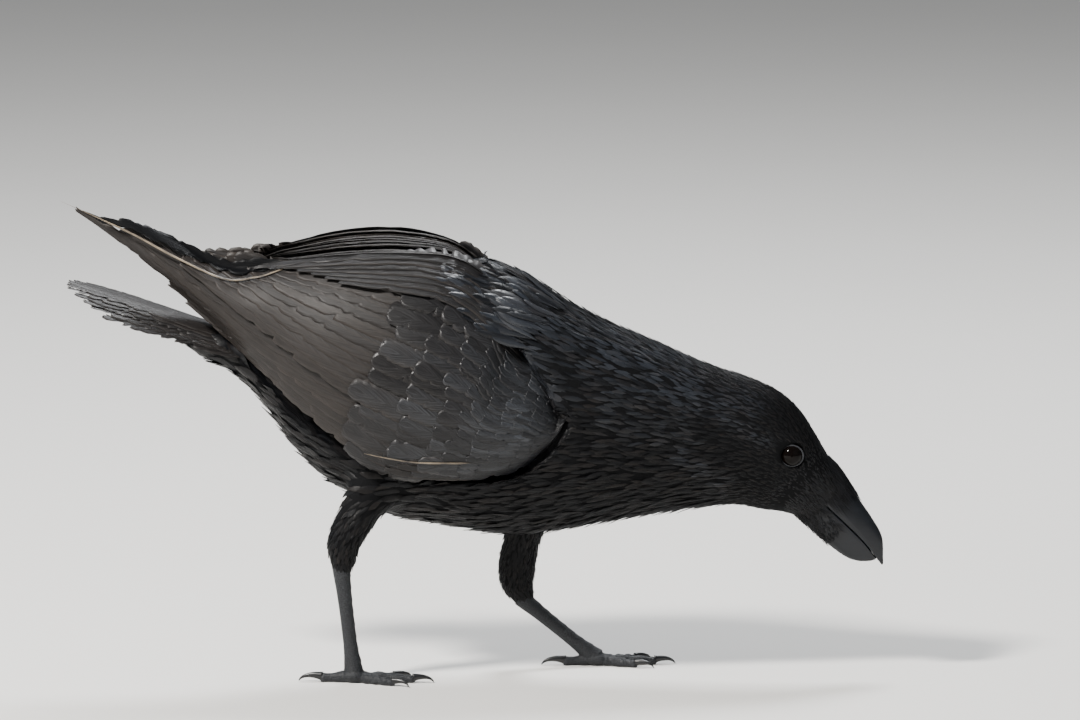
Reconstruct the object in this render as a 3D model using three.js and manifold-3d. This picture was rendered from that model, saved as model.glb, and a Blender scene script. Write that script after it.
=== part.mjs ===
// A common raven, the largest bird of the crow family, as a life-size standing model.
// It has stepped forward on its left leg and leans down with a nearly shut bill, its wings loosely folded.
// Frame: +X to the front, +Y to the bird's left, +Z up; the origin is on the floor, under the middle.
// Lengths are in millimetres and angles in degrees.
import * as THREE from "three";
import { mergeVertices } from "three/addons/utils/BufferGeometryUtils.js";
import Module from "manifold-3d";

const wasm = await Module();
wasm.setup();

// ---------- driving dimensions ----------

const GAP = 0.45; // clearance between neighbouring pieces
const BODY_SIDES = 20; // facets round the trunk, neck and head
const BODY_ROUNDNESS = 0.94; // exponent of the body's cross-section, 1 for an ellipse

// Sections across the body, from the vent to the face. Each is a plane at (x, z) whose axis dips
// forward by tilt; up, down and side are its reach above, below and to either side of that point.
const BODY = [
  { x: -211, z: 245, tilt: 24, up: 3, down: 6, side: 9 },
  { x: -192, z: 235, tilt: 25, up: 10, down: 13, side: 16 },
  { x: -165, z: 227, tilt: 25, up: 27, down: 17, side: 25 },
  { x: -132, z: 214, tilt: 24, up: 54, down: 36, side: 37 },
  { x: -97, z: 201, tilt: 20, up: 80, down: 61, side: 47 },
  { x: -52, z: 193, tilt: 14, up: 100, down: 81, side: 55 },
  { x: -13, z: 189, tilt: 12, up: 110, down: 85, side: 59 },
  { x: 29, z: 186, tilt: 11, up: 93, down: 89, side: 59 },
  { x: 67, z: 182, tilt: 10, up: 77, down: 82, side: 55 },
  { x: 109, z: 177, tilt: 9, up: 65, down: 69, side: 48 },
  { x: 151, z: 170, tilt: 11, up: 53.5, down: 56, side: 41 },
  { x: 183, z: 166, tilt: 18, up: 45, down: 51, side: 34 },
  { x: 204, z: 160, tilt: 28, up: 36.5, down: 47, side: 29 },
  { x: 222, z: 148, tilt: 39, up: 25, down: 41, side: 25 },
  { x: 235, z: 134, tilt: 44, up: 20, down: 28, side: 18 },
  { x: 244, z: 125, tilt: 44, up: 13, down: 17, side: 11 },
];
const TRUNK_END = 0.59; // share of the row of sections where the trunk meets the neck
const NECK_END = 0.745; // and where the neck meets the head
const BODY_STEPS = { trunk: 15, neck: 5, head: 10 };

// The bill, measured from the corner of the mouth along an axis that dips below the horizon.
const BILL = { x: 228.3, z: 133.8, dip: 44, length: 78, root: 8, rim: 0.85, sides: 10, steps: 9 };
// Each row gives the ridge of the upper half, its cutting edge and its half width at a share of the length.
const UPPER_BILL = [
  { ridge: 26.5, edge: 0.4, half: 12 },
  { ridge: 25.6, edge: 0.3, half: 11.4 },
  { ridge: 22.4, edge: 0.3, half: 10 },
  { ridge: 19, edge: 0.3, half: 8.4 },
  { ridge: 16, edge: 0.2, half: 6.4 },
  { ridge: 11.4, edge: -1, half: 4 },
  { ridge: 0.2, edge: -3.2, half: 1 },
];
const LOWER_BILL_SHARE = 0.92; // length of the lower half against the upper
const LOWER_BILL = [
  { top: -0.8, keel: -20, half: 11.4 },
  { top: -0.8, keel: -20, half: 10.6 },
  { top: -1, keel: -19.6, half: 9.2 },
  { top: -1.6, keel: -19.2, half: 7.6 },
  { top: -2.6, keel: -18.8, half: 5.8 },
  { top: -4.4, keel: -17, half: 3.8 },
  { top: -7.2, keel: -10, half: 1.1 },
];

const EYE = { radius: 8.5, x: 217.8, z: 158.5, out: 19.6, sides: 12, rings: 8 };

// The folded wing is drawn on a chart: s runs from the wrist to the wing tip and h across it.
const WRIST = { x: 57, z: 195, rise: 22 };
// Its lower and upper edges, and how far its outer face stands out from the middle of the bird.
const WING_LOW = [
  [-5, -8], [-3, -26], [14, -51], [51, -70], [104, -83], [173, -68], [220, -46], [268, -28], [365, -3],
];
const WING_HIGH = [
  [-5, -4], [17, 24], [45, 36], [65, 56], [103, 67], [140, 57], [178, 40], [216, 20], [256, 2], [371, 2],
];
const WING_REACH = [
  [-5, 53], [20, 62], [60, 69], [110, 70], [160, 61], [210, 45], [260, 31], [311, 21], [365, 15],
];
const WING_CREST = 0.35; // share of the way up where the wing stands out furthest
// How far the wing rolls in above and below its crest, as a share of its reach, and how sharply.
const WING_ROLL = { over: 0.92, overSharpness: 2.2, under: 0.2, underSharpness: 2 };
const WING_LEAST_HEIGHT = 30; // the rolls are never squeezed into less than this
const WING_SHARES = { least: -0.1, most: 1.1 }; // the rolls stop this far beyond the wing's two edges
// The coverts: how far back they reach, how thick they are at the front, how far they stand proud of the
// outer face, how much they thin to the rear, how thick their rim stays and how close the front steps lie.
const COVERTS = { front: -4, back: 128, thick: 13, proud: 1.6, thins: 0.72, rim: 0.14, crowd: 1.25 };
const LEFT_WING = { lift: 13, from: 82, to: 254 }; // the left wing's inner feathers ride higher on the back
// Each row of flight feathers is one fan: its lower and upper edges on the chart, where the lowest and the
// highest feather are rooted and, lowest feather first, where each tip lies and how deep a notch parts it
// from the next.
const PRIMARIES = {
  low: [[68, -72], [109, -78], [150, -68], [190, -53], [231, -40], [290, -26], [376, -12]],
  high: [[68, -33], [136, -34], [186, -24], [235, -12], [290, -2], [376, 2]],
  roots: [68, 86],
  tips: [
    { s: 262, notch: 16 },
    { s: 292, notch: 16 },
    { s: 314, notch: 16 },
    { s: 376, notch: 40 },
    { s: 318, notch: 16 },
  ],
};
const PRIMARY_DEPTH = { low: 12.4, high: 11.8 }; // how far under the wing's outer face the fan lies
const SECONDARIES = {
  low: [[86, -42], [137, -47], [187, -38], [238, -23], [289, -11]],
  high: [[86, 52], [125, 55], [147, 50.5], [168, 43], [190, 37.5], [230, 34.5], [289, 34]],
  roots: [86, 104],
  tips: [284, 274, 262, 246, 226, 202].map((s) => ({ s, notch: 16 })),
};
const SECONDARY_DEPTH = { low: 6, high: 4 };
const FAN = { thick: 1.3, stepsAcross: 3, stepsAlong: 4, notchSharpness: 4 };
const WING_RIDGE = 13.8; // the outer faces of the two wings come this close to the middle of the back
// The trunk is hollowed under each wing, this far below and above its outer face and past its edges.
const BED = { depth: 15.5, front: -7, back: 320, margin: 5, crowd: 1.7, stepsAcross: 6, stepsAlong: 11 };

// The tail is a closed wedge of twelve feathers on an axis that rises to the rear.
const TAIL = {
  feathers: 12,
  x: -152,
  z: 233,
  rise: 18.3,
  roll: 14,
  length: 145,
  shorter: 34, // how much shorter the outermost feathers are than the middle pair
  rootHalf: 18,
  endHalf: 29,
  notch: 9,
  arch: 220, // the larger, the flatter
  thick: { middle: 4.4, edge: 1.2 },
};

// Each leg, for a bird's right and left: a feathered shank, a bare scaled tarsus and four clawed toes.
const LEGS = {
  right: {
    side: -1,
    thigh: [
      { x: -68, y: 30, z: 146, fore: 24, wide: 15 },
      { x: -84, y: 33, z: 120, fore: 16.5, wide: 14 },
      { x: -94.5, y: 34, z: 101, fore: 14.3, wide: 11.5 },
      { x: -95.5, y: 34, z: 86, fore: 10.4, wide: 8.4 },
      { x: -96, y: 34, z: 75, fore: 6.2, wide: 5.6 },
    ],
    ankle: { x: -96, y: 34, z: 73 },
    foot: { x: -88, y: 34, z: 4.5, heading: -4 },
  },
  left: {
    side: 1,
    thigh: [
      { x: 38, y: 28, z: 126, fore: 24, wide: 15 },
      { x: 31, y: 32, z: 98, fore: 15, wide: 14 },
      { x: 26, y: 34, z: 74, fore: 14.2, wide: 12 },
      { x: 26, y: 34, z: 58, fore: 13, wide: 9.6 },
      { x: 34, y: 34, z: 45, fore: 6.6, wide: 5.8 },
    ],
    ankle: { x: 35, y: 34, z: 43 },
    foot: { x: 82, y: 35, z: 4.5, heading: 3 },
  },
};
const THIGH = { steps: 9, sides: 12 };
// The tarsus: its half widths from the ankle down, and how much deeper it is than wide.
const TARSUS = { widths: [5.4, 4.5, 4.2, 4.4, 6], depth: 1.15, steps: 8, sides: 10 };
const BALL = { long: 9, wide: 7.5, high: 5 }; // the pad where the toes meet
// Turn towards the middle of the bird, length without the claw, thickness, number of pads and claw size.
const TOES = {
  hind: { turn: 180, length: 24, radius: 4.1, pads: 1, claw: 1.2 },
  inner: { turn: 24, length: 31, radius: 3.7, pads: 2, claw: 1 },
  middle: { turn: 0, length: 43, radius: 3.9, pads: 3, claw: 1.05 },
  outer: { turn: -26, length: 33, radius: 3.6, pads: 4, claw: 0.95 },
};
const TOE = { rootGirth: 1.1, endGirth: 0.78, padSwell: 0.13 }; // girths as shares of a toe's radius
// A claw leaves the toe pointing up and turns down; its leans are in radians, its width a share of its height.
const CLAW = { length: 14, radius: 2.7, tip: 0.55, arch: 3.4, rootLean: 0.3, tipLean: 1.1, width: 0.85 };
const CLAW_ROOT = 1.5; // how far a claw starts behind the end of its toe
const CLAW_TAPER = 0.8; // exponent of how fast it thins
const CLAW_TURN = 1.35; // how far round its arch the claw runs, in radians
const SOLE_CUT = 0.7; // how deep the floor trims the rounded soles to small flats

// ---------- helpers ----------

const lerp = THREE.MathUtils.lerp;
const radians = THREE.MathUtils.degToRad;
const clamp = THREE.MathUtils.clamp;

// A smooth curve through rows of named numbers; the returned function gives the row at a share of its length.
function rowsThrough(rows) {
  const keys = Object.keys(rows[0]);
  const trackOf = (key) => new THREE.SplineCurve(rows.map((row, i) => new THREE.Vector2(i, row[key])));
  const tracks = keys.map(trackOf);
  return (share) => Object.fromEntries(keys.map((key, i) => [key, tracks[i].getPoint(share).y]));
}

// Height of a smooth curve over [position, height] points, at a position between them.
function heightOver(points) {
  const curve = new THREE.SplineCurve(points.map(([x, y]) => new THREE.Vector2(x, y)));
  const table = curve.getPoints(points.length * 12);
  return (at) => {
    const next = Math.max(1, table.findIndex((p, i) => i > 0 && (p.x >= at || i === table.length - 1)));
    const [a, b] = [table[next - 1], table[next]];
    return lerp(a.y, b.y, clamp((at - a.x) / (b.x - a.x), 0, 1));
  };
}

// A geometry as a manifold solid with its faces pointing out, every point moved outwards by grow.
function solidOf(geometry, grow = 0) {
  const bare = geometry.clone();
  bare.deleteAttribute("normal");
  bare.deleteAttribute("uv");
  const merged = mergeVertices(bare, 1e-3);
  merged.computeVertexNormals();
  const { position, normal } = merged.attributes;
  const vertProperties = new Float32Array(position.array);
  const triVerts = new Uint32Array(merged.index.array);
  const made = () => new wasm.Manifold(new wasm.Mesh({ numProp: 3, vertProperties, triVerts }));
  const outward = made().volume() > 0 ? 1 : -1;
  if (outward < 0) triVerts.reverse();
  vertProperties.forEach((v, i) => (vertProperties[i] = v + outward * grow * normal.array[i]));
  return made();
}

// A cylinder whose points are moved to place(share of the length, angle, share of the radius).
function moulded(steps, sides, place, grow = 0) {
  const shape = new THREE.CylinderGeometry(1, 1, 1, sides, steps);
  const spots = shape.attributes.position;
  for (let i = 0; i < spots.count; i++) {
    const [x, y, z] = [spots.getX(i), spots.getY(i), spots.getZ(i)];
    const spot = place(y + 0.5, Math.atan2(z, x), Math.min(1, Math.hypot(x, z)));
    spots.setXYZ(i, spot.x, spot.y, spot.z);
  }
  return solidOf(shape, grow);
}

// A thin plate whose points are moved to place(share across, share along, 1 outside or -1 inside).
// Its two faces are split along the same diagonals, so that it keeps its thickness where it twists.
function plate(stepsAcross, stepsAlong, place, grow = 0) {
  const shape = new THREE.BoxGeometry(1, 1, 2, stepsAcross, stepsAlong, 1);
  const corners = shape.index.array;
  const outside = shape.groups[4];
  for (let i = outside.start; i < outside.start + outside.count; i += 6) {
    const [a, b, d, , c] = corners.slice(i, i + 6);
    corners.set([a, b, c, a, c, d], i);
  }
  const spots = shape.attributes.position;
  for (let i = 0; i < spots.count; i++) {
    const spot = place(spots.getX(i) + 0.5, spots.getY(i) + 0.5, spots.getZ(i));
    spots.setXYZ(i, spot.x, spot.y, spot.z);
  }
  return solidOf(shape, grow);
}

// The largest body of a solid, without slivers that a cut has set loose.
function largest(solid) {
  return solid.decompose().reduce((a, b) => (b.volume() > a.volume() ? b : a));
}

function joined(solids) {
  return solids.reduce((a, b) => a.add(b));
}

// ---------- trunk, neck and head ----------

const bodyAt = rowsThrough(BODY);

function bodyPart(from, to, steps) {
  return moulded(steps, BODY_SIDES, (along, angle, out) => {
    const section = bodyAt(lerp(from, to, along));
    const [across, upward] = [Math.cos(angle), Math.sin(angle)].map(
      (v) => Math.sign(v) * Math.abs(v) ** BODY_ROUNDNESS * out,
    );
    const height = upward * (upward > 0 ? section.up : section.down);
    const tilt = radians(section.tilt);
    return new THREE.Vector3(
      section.x + Math.sin(tilt) * height,
      section.side * across,
      section.z + Math.cos(tilt) * height,
    );
  });
}

// ---------- bill and eyes ----------

// One half of the bill between its upper and lower outlines, each a height over the mouth's line.
// The flat side is the one that meets the other half: -1 for below, 1 for above.
function billHalf(rows, lengthShare, flatSide, outline, grow) {
  const rowAt = rowsThrough(rows);
  const dip = radians(BILL.dip);
  return moulded(BILL.steps, BILL.sides, (along, angle, out) => {
    const { crest, rim, half } = outline(rowAt(along));
    const reach = lerp(-BILL.root, BILL.length * lengthShare, along);
    const upward = Math.sin(angle) * out;
    const bulge = Math.abs(crest - rim) * Math.abs(upward) ** 0.85;
    const height = rim + Math.sign(upward) * (upward * flatSide > 0 ? BILL.rim * Math.abs(upward) : bulge);
    return new THREE.Vector3(
      BILL.x + Math.cos(dip) * reach + Math.sin(dip) * height,
      half * Math.cos(angle) * out,
      BILL.z - Math.sin(dip) * reach + Math.cos(dip) * height,
    );
  }, grow);
}

function upperBill(grow = 0) {
  const outline = (row) => ({ crest: row.ridge, rim: row.edge + BILL.rim, half: row.half });
  return billHalf(UPPER_BILL, 1, -1, outline, grow);
}

function lowerBill(grow = 0) {
  const outline = (row) => ({ crest: row.keel, rim: row.top - BILL.rim, half: row.half });
  return billHalf(LOWER_BILL, LOWER_BILL_SHARE, 1, outline, grow);
}

function eyeball(side, grow = 0) {
  const ball = new THREE.SphereGeometry(EYE.radius, EYE.sides, EYE.rings);
  return solidOf(ball.rotateX(Math.PI / 2).translate(EYE.x, side * EYE.out, EYE.z), grow);
}

// ---------- wings ----------

const wingLow = heightOver(WING_LOW);
const wingHigh = heightOver(WING_HIGH);
const wingReach = heightOver(WING_REACH);

// How far a folded wing's outer face stands from the middle of the bird, at a place on the chart.
function wingSheet(s, h) {
  const height = Math.max(WING_LEAST_HEIGHT, wingHigh(s) - wingLow(s));
  const share = clamp((h - wingLow(s)) / height, WING_SHARES.least, WING_SHARES.most);
  const over = Math.max(0, share - WING_CREST) / (WING_SHARES.most - WING_CREST);
  const under = Math.max(0, WING_CREST - share) / WING_CREST;
  const rollOver = WING_ROLL.over * over ** WING_ROLL.overSharpness;
  const rollUnder = WING_ROLL.under * under ** WING_ROLL.underSharpness;
  return Math.max(WING_RIDGE, wingReach(s) * (1 - rollOver - rollUnder));
}

// The spot in space for a place on a wing's chart, sunk below the outer face by depth.
function onWing(side, s, h, depth) {
  const rise = radians(WRIST.rise);
  const hump = Math.sin(Math.PI * clamp((s - LEFT_WING.from) / (LEFT_WING.to - LEFT_WING.from), 0, 1));
  const lift = side > 0 ? LEFT_WING.lift * hump : 0;
  return new THREE.Vector3(
    WRIST.x - Math.cos(rise) * s + Math.sin(rise) * h,
    side * (wingSheet(s, h) - depth),
    WRIST.z + Math.sin(rise) * s + Math.cos(rise) * h + lift,
  );
}

// The shoulder of the wing, with the small feathers that cover the bases of the long ones.
function coverts(side, grow = 0) {
  return plate(8, 9, (across, along, face) => {
    const s = lerp(COVERTS.front, COVERTS.back, along ** COVERTS.crowd);
    const h = lerp(wingLow(s), wingHigh(s), 0.5 - 0.5 * Math.cos(Math.PI * across));
    const swell = Math.max(COVERTS.rim, Math.sin(Math.PI * across)) * (1 - COVERTS.thins * along);
    return onWing(side, s, h, face > 0 ? COVERTS.proud * (1 - swell) : COVERTS.proud + COVERTS.thick * swell);
  }, grow);
}

// Straight through rows of named numbers, and on past both ends; position counts the rows from 0.
function lineThrough(rows, position) {
  const first = clamp(Math.floor(position), 0, rows.length - 2);
  const between = (key) => lerp(rows[first][key], rows[first + 1][key], position - first);
  return Object.fromEntries(Object.keys(rows[0]).map((key) => [key, between(key)]));
}

// How far a feather's rounded tip draws back at a place across a row of feathers, as a share of the notch.
const drawnBack = (place) => Math.abs(2 * (place - Math.floor(place)) - 1) ** 2;

// A row of flight feathers as one fan, each feather with its own tip.
function fan(side, row, depth, grow = 0) {
  const [low, high, count] = [heightOver(row.low), heightOver(row.high), row.tips.length];
  return plate(count * FAN.stepsAcross, FAN.stepsAlong, (across, along, face) => {
    const place = across * count;
    const tip = lineThrough(row.tips, place - 0.5);
    const back = tip.notch * drawnBack(Math.min(place, count - 1e-6)) * along ** FAN.notchSharpness;
    const s = lerp(lerp(...row.roots, across), tip.s, along) - back;
    const sunk = lerp(depth.low, depth.high, across) - (face * FAN.thick) / 2;
    return onWing(side, s, lerp(low(s), high(s), across), sunk);
  }, grow);
}

// The space that the flight feathers take, cut out of the trunk.
function featherBed(side) {
  return plate(BED.stepsAcross, BED.stepsAlong, (across, along, face) => {
    const s = lerp(BED.front, BED.back, along ** BED.crowd);
    const h = lerp(wingLow(s) - BED.margin, wingHigh(s) + BED.margin, across);
    return onWing(side, s, h, -face * BED.depth);
  });
}

// ---------- tail ----------

const tailAxis = new THREE.Matrix4()
  .makeTranslation(TAIL.x, 0, TAIL.z)
  .multiply(new THREE.Matrix4().makeRotationY(radians(TAIL.rise)))
  .multiply(new THREE.Matrix4().makeRotationX(radians(TAIL.roll)));

// A spot on the tail's arched top, at a distance to the rear and sideways, and a height over it.
function onTail(rear, sideways, height) {
  return new THREE.Vector3(-rear, sideways, height - sideways ** 2 / TAIL.arch).applyMatrix4(tailAxis);
}

// How thick the stacked feathers are at a place from -1 to 1 across the tail.
const tailThick = (place) => lerp(TAIL.thick.middle, TAIL.thick.edge, Math.abs(place));

function tail() {
  return plate(TAIL.feathers * 2, 3, (across, along, face) => {
    const place = 2 * across - 1;
    const counted = Math.min(across * TAIL.feathers, TAIL.feathers - 1e-6);
    const length = TAIL.length - TAIL.shorter * place ** 2 - TAIL.notch * drawnBack(counted);
    const half = lerp(TAIL.rootHalf, TAIL.endHalf, along);
    return onTail(along * length, place * half, ((face - 1) * tailThick(place)) / 2);
  });
}

// The space that the tail's root takes, cut out of the trunk.
function tailBed() {
  return plate(8, 2, (across, along, face) => {
    const place = 2.1 * across - 1.05;
    const height = face > 0 ? GAP : -tailThick(Math.min(1, Math.abs(place))) - GAP;
    return onTail(lerp(-GAP, TAIL.length, along), place * lerp(TAIL.rootHalf, TAIL.endHalf, along), height);
  });
}

// ---------- legs and feet ----------

// A limb through rows of { x, y, z, fore, wide }, round about its own line, mirrored to a side of the bird.
function limb(rows, side, steps, sides, grow = 0) {
  const rowAt = rowsThrough(rows);
  return moulded(steps, sides, (along, angle, out) => {
    const row = rowAt(along);
    const [before, after] = [rowAt(Math.max(0, along - 0.02)), rowAt(Math.min(1, along + 0.02))];
    const line = new THREE.Vector3(after.x - before.x, 0, after.z - before.z).normalize();
    const fore = Math.cos(angle) * out * row.fore;
    const wide = Math.sin(angle) * out * row.wide;
    return new THREE.Vector3(row.x - line.z * fore, side * (row.y + wide), row.z + line.x * fore);
  }, grow);
}

function tarsusRows({ ankle, foot }) {
  return TARSUS.widths.map((wide, i) => {
    const share = i / (TARSUS.widths.length - 1);
    return {
      x: lerp(ankle.x, foot.x, share),
      y: lerp(ankle.y, foot.y, share),
      z: lerp(ankle.z, foot.z, share),
      fore: wide * TARSUS.depth,
      wide,
    };
  });
}

// A point at a distance along a toe that leaves the ball of the foot in its own direction.
function onToe(leg, toe, distance, across, height) {
  const turn = radians(leg.foot.heading - toe.turn * leg.side);
  return new THREE.Vector3(
    leg.foot.x + Math.cos(turn) * distance - Math.sin(turn) * across,
    leg.side * leg.foot.y + Math.sin(turn) * distance + Math.cos(turn) * across,
    height,
  );
}

function footBall(leg, grow = 0) {
  const pad = new THREE.SphereGeometry(1, 8, 5).scale(BALL.long, BALL.wide, BALL.high);
  return solidOf(pad.translate(leg.foot.x, leg.side * leg.foot.y, BALL.high - SOLE_CUT), grow);
}

function toeSolid(leg, toe, grow = 0) {
  return moulded(toe.pads * 2 + 1, 6, (along, angle, out) => {
    const pads = 1 + TOE.padSwell * Math.cos(2 * Math.PI * (along * (toe.pads + 0.5) - 0.5));
    const girth = toe.radius * lerp(TOE.rootGirth, TOE.endGirth, along);
    const radius = girth * pads * out;
    const middle = girth - SOLE_CUT;
    return onToe(leg, toe, toe.length * along, radius * Math.cos(angle), middle + radius * Math.sin(angle));
  }, grow);
}

function clawSolid(leg, toe) {
  const size = CLAW.length * toe.claw;
  return moulded(4, 6, (along, angle, out) => {
    const radius = lerp(CLAW.radius, CLAW.tip, along ** CLAW_TAPER) * toe.claw * out;
    const arch = CLAW.arch * toe.claw * 2 * along * (1 - along);
    const height = CLAW.tip + (toe.radius - SOLE_CUT) * (1 - along) + arch;
    const lean = lerp(CLAW.rootLean, -CLAW.tipLean, along);
    return onToe(
      leg,
      toe,
      toe.length - CLAW_ROOT + size * Math.sin(CLAW_TURN * along) - radius * Math.sin(angle) * Math.sin(lean),
      radius * Math.cos(angle) * CLAW.width,
      height + radius * Math.sin(angle) * Math.cos(lean),
    );
  });
}

// ---------- assembly ----------

const MATERIALS = {
  plumage: new THREE.MeshStandardMaterial({ color: 0x17181b, roughness: 0.55, metalness: 0.05 }),
  flight: new THREE.MeshStandardMaterial({ color: 0x2a2927, roughness: 0.5, metalness: 0.05 }),
  horn: new THREE.MeshStandardMaterial({ color: 0x1c2127, roughness: 0.35, metalness: 0 }),
  leg: new THREE.MeshStandardMaterial({ color: 0x25272a, roughness: 0.6, metalness: 0 }),
  eye: new THREE.MeshStandardMaterial({ color: 0x120c09, roughness: 0.08, metalness: 0 }),
};

const raven = new THREE.Group();
raven.name = "raven";

function geometryOf(solid) {
  const { vertProperties, triVerts, numProp } = solid.getMesh();
  const spots = new THREE.InterleavedBuffer(vertProperties, numProp);
  const geometry = new THREE.BufferGeometry();
  geometry.setAttribute("position", new THREE.InterleavedBufferAttribute(spots, 3, 0));
  geometry.setIndex(new THREE.BufferAttribute(triVerts, 1));
  return geometry.toNonIndexed();
}

// Adds a solid as a named piece, once its nearly touching points are welded and its loose slivers gone.
function addPiece(name, solid, material) {
  const welded = largest(solidOf(geometryOf(largest(solid))));
  const geometry = geometryOf(welded);
  geometry.computeVertexNormals();
  const mesh = new THREE.Mesh(geometry, material);
  mesh.name = name;
  raven.add(mesh);
}

// A solid cut back from its neighbour, which make(grow) builds, so that the clearance stays between them.
function clearOf(solid, ...makers) {
  return makers.reduce((left, make) => left.subtract(make(GAP)), solid);
}

const floor = solidOf(new THREE.BoxGeometry(900, 400, 40).translate(0, 0, -20));
const sides = { right: -1, left: 1 };
const toes = Object.values(TOES);
const pieceGap = GAP / 700; // the clearance as a share of the row of body sections

let trunk = bodyPart(0, TRUNK_END, BODY_STEPS.trunk).subtract(tailBed());
for (const [name, side] of Object.entries(sides)) {
  const shoulder = (grow) => coverts(side, grow);
  const leg = LEGS[name];
  const thigh = (grow) => limb(leg.thigh, side, THIGH.steps, THIGH.sides, grow);
  trunk = clearOf(trunk, thigh).subtract(featherBed(side));
  const secondaries = fan(side, SECONDARIES, SECONDARY_DEPTH);
  const primaries = (grow) => fan(side, PRIMARIES, PRIMARY_DEPTH, grow);
  addPiece(`wing_coverts_${name}`, shoulder(0), MATERIALS.plumage);
  addPiece(`wing_secondaries_${name}`, clearOf(secondaries, shoulder, primaries), MATERIALS.flight);
  addPiece(`wing_primaries_${name}`, clearOf(primaries(0), shoulder), MATERIALS.flight);
  addPiece(`thigh_${name}`, thigh(0), MATERIALS.plumage);
  const foot = (grow) => joined([footBall(leg, grow), ...toes.map((toe) => toeSolid(leg, toe, grow))]);
  const tarsus = limb(tarsusRows(leg), side, TARSUS.steps, TARSUS.sides);
  addPiece(`tarsus_${name}`, clearOf(tarsus, thigh, foot).subtract(floor), MATERIALS.leg);
  addPiece(`foot_${name}`, foot(0).subtract(floor), MATERIALS.leg);
  for (const [which, toe] of Object.entries(TOES)) {
    const toeOf = (grow) => toeSolid(leg, toe, grow);
    addPiece(`claw_${which}_${name}`, clearOf(clawSolid(leg, toe), toeOf).subtract(floor), MATERIALS.horn);
  }
}
addPiece("trunk", trunk, MATERIALS.plumage);
addPiece("neck", bodyPart(TRUNK_END + pieceGap, NECK_END, BODY_STEPS.neck), MATERIALS.plumage);

let head = clearOf(bodyPart(NECK_END + pieceGap, 1, BODY_STEPS.head), upperBill, lowerBill);
for (const [name, side] of Object.entries(sides)) {
  head = clearOf(head, (grow) => eyeball(side, grow));
  addPiece(`eye_${name}`, eyeball(side), MATERIALS.eye);
}
addPiece("head", head, MATERIALS.plumage);
addPiece("bill_upper", upperBill(), MATERIALS.horn);
addPiece("bill_lower", lowerBill(), MATERIALS.horn);
addPiece("tail", tail(), MATERIALS.flight);

// The soles are on the floor at height 0; the origin goes under the middle of the bird.
const middle = new THREE.Box3().setFromObject(raven).getCenter(new THREE.Vector3());
raven.position.set(-middle.x, -middle.y, 0);

export default raven;
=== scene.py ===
import math

import bpy
import numpy as np
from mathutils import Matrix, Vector
from mathutils.bvhtree import BVHTree
from mathutils.kdtree import KDTree


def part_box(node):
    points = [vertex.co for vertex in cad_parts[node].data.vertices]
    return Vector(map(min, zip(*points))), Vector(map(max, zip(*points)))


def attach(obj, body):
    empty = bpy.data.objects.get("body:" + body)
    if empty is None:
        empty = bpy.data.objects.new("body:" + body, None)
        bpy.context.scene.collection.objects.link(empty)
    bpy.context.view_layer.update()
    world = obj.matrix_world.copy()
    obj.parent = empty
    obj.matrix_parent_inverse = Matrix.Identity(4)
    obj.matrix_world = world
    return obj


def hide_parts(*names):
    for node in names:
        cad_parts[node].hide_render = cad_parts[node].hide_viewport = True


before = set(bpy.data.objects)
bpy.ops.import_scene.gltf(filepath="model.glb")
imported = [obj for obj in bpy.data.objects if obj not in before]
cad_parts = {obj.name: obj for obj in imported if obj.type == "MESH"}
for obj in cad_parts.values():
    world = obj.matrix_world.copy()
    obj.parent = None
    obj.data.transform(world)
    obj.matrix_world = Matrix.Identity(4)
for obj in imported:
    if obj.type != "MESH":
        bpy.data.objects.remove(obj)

bl_info = {
    "name": "Raven model",
    "version": (1, 0, 0),
    "blender": (4, 5, 0),
    "location": "3D View > Sidebar > Raven",
    "description": "Builds the skin, feathers, bill, eyes and feet of a life-size common raven",
    "category": "Add Mesh",
}

# Shapes are worked out in millimetres in the construction's own frame: x to the front, y to the
# bird's left, z up. Blender gets them in metres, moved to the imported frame's origin.
MM = 0.001
DOUBLES = 0.02  # corners of a copied node nearer than this are one
EYE = {"radius": 8.5, "x": 217.8, "z": 158.5, "out": 19.6}
SIDES = {"right": -1, "left": 1}
EYE_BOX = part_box("eye_right")
SHIFT = np.array([(EYE_BOX[0].x + EYE_BOX[1].x) / 2 - EYE["x"] * MM, 0, 0])
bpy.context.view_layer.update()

# Sections across the body from the vent to the face: x, z, tilt of the section's axis in degrees,
# and its reach up, down and to either side.
BODY = np.array([
    (-211, 245, 24, 3, 6, 9), (-192, 235, 25, 10, 13, 16), (-165, 227, 25, 27, 17, 25),
    (-132, 214, 24, 54, 36, 37), (-97, 201, 20, 80, 61, 47), (-52, 193, 14, 100, 81, 55),
    (-13, 189, 12, 110, 85, 59), (29, 186, 11, 93, 89, 59), (67, 182, 10, 77, 82, 55),
    (109, 177, 9, 65, 69, 48), (151, 170, 11, 53.5, 56, 41), (183, 166, 18, 45, 51, 34),
    (204, 160, 28, 36.5, 47, 29), (222, 148, 39, 25, 41, 25), (235, 134, 44, 20, 28, 18),
    (244, 125, 44, 13, 17, 11),
], float)
BODY_ROUNDNESS = 0.94

# The bill, from the corner of the mouth along an axis that dips below the horizon; rows of
# ridge, cutting edge and half width for the upper half, and top, keel and half width for the lower.
BILL = {"x": 228.3, "z": 133.8, "dip": 44, "length": 78, "root": 8, "rim": 0.85, "lower_share": 0.92}
UPPER_BILL = [(26.5, .4, 12), (25.6, .3, 11.4), (22.4, .3, 10), (19, .3, 8.4), (16, .2, 6.4),
              (11.4, -1, 4), (.2, -3.2, 1)]
LOWER_BILL = [(-20, .7, 11.4), (-20, .7, 10.6), (-19.6, .6, 9.2), (-19.2, .5, 7.6),
              (-18.4, .4, 5.8), (-15.8, -.2, 3.9), (-8.6, -2.2, 1.6)]
BILL_END = 0.9  # from here on both halves round off to their tips

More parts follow.
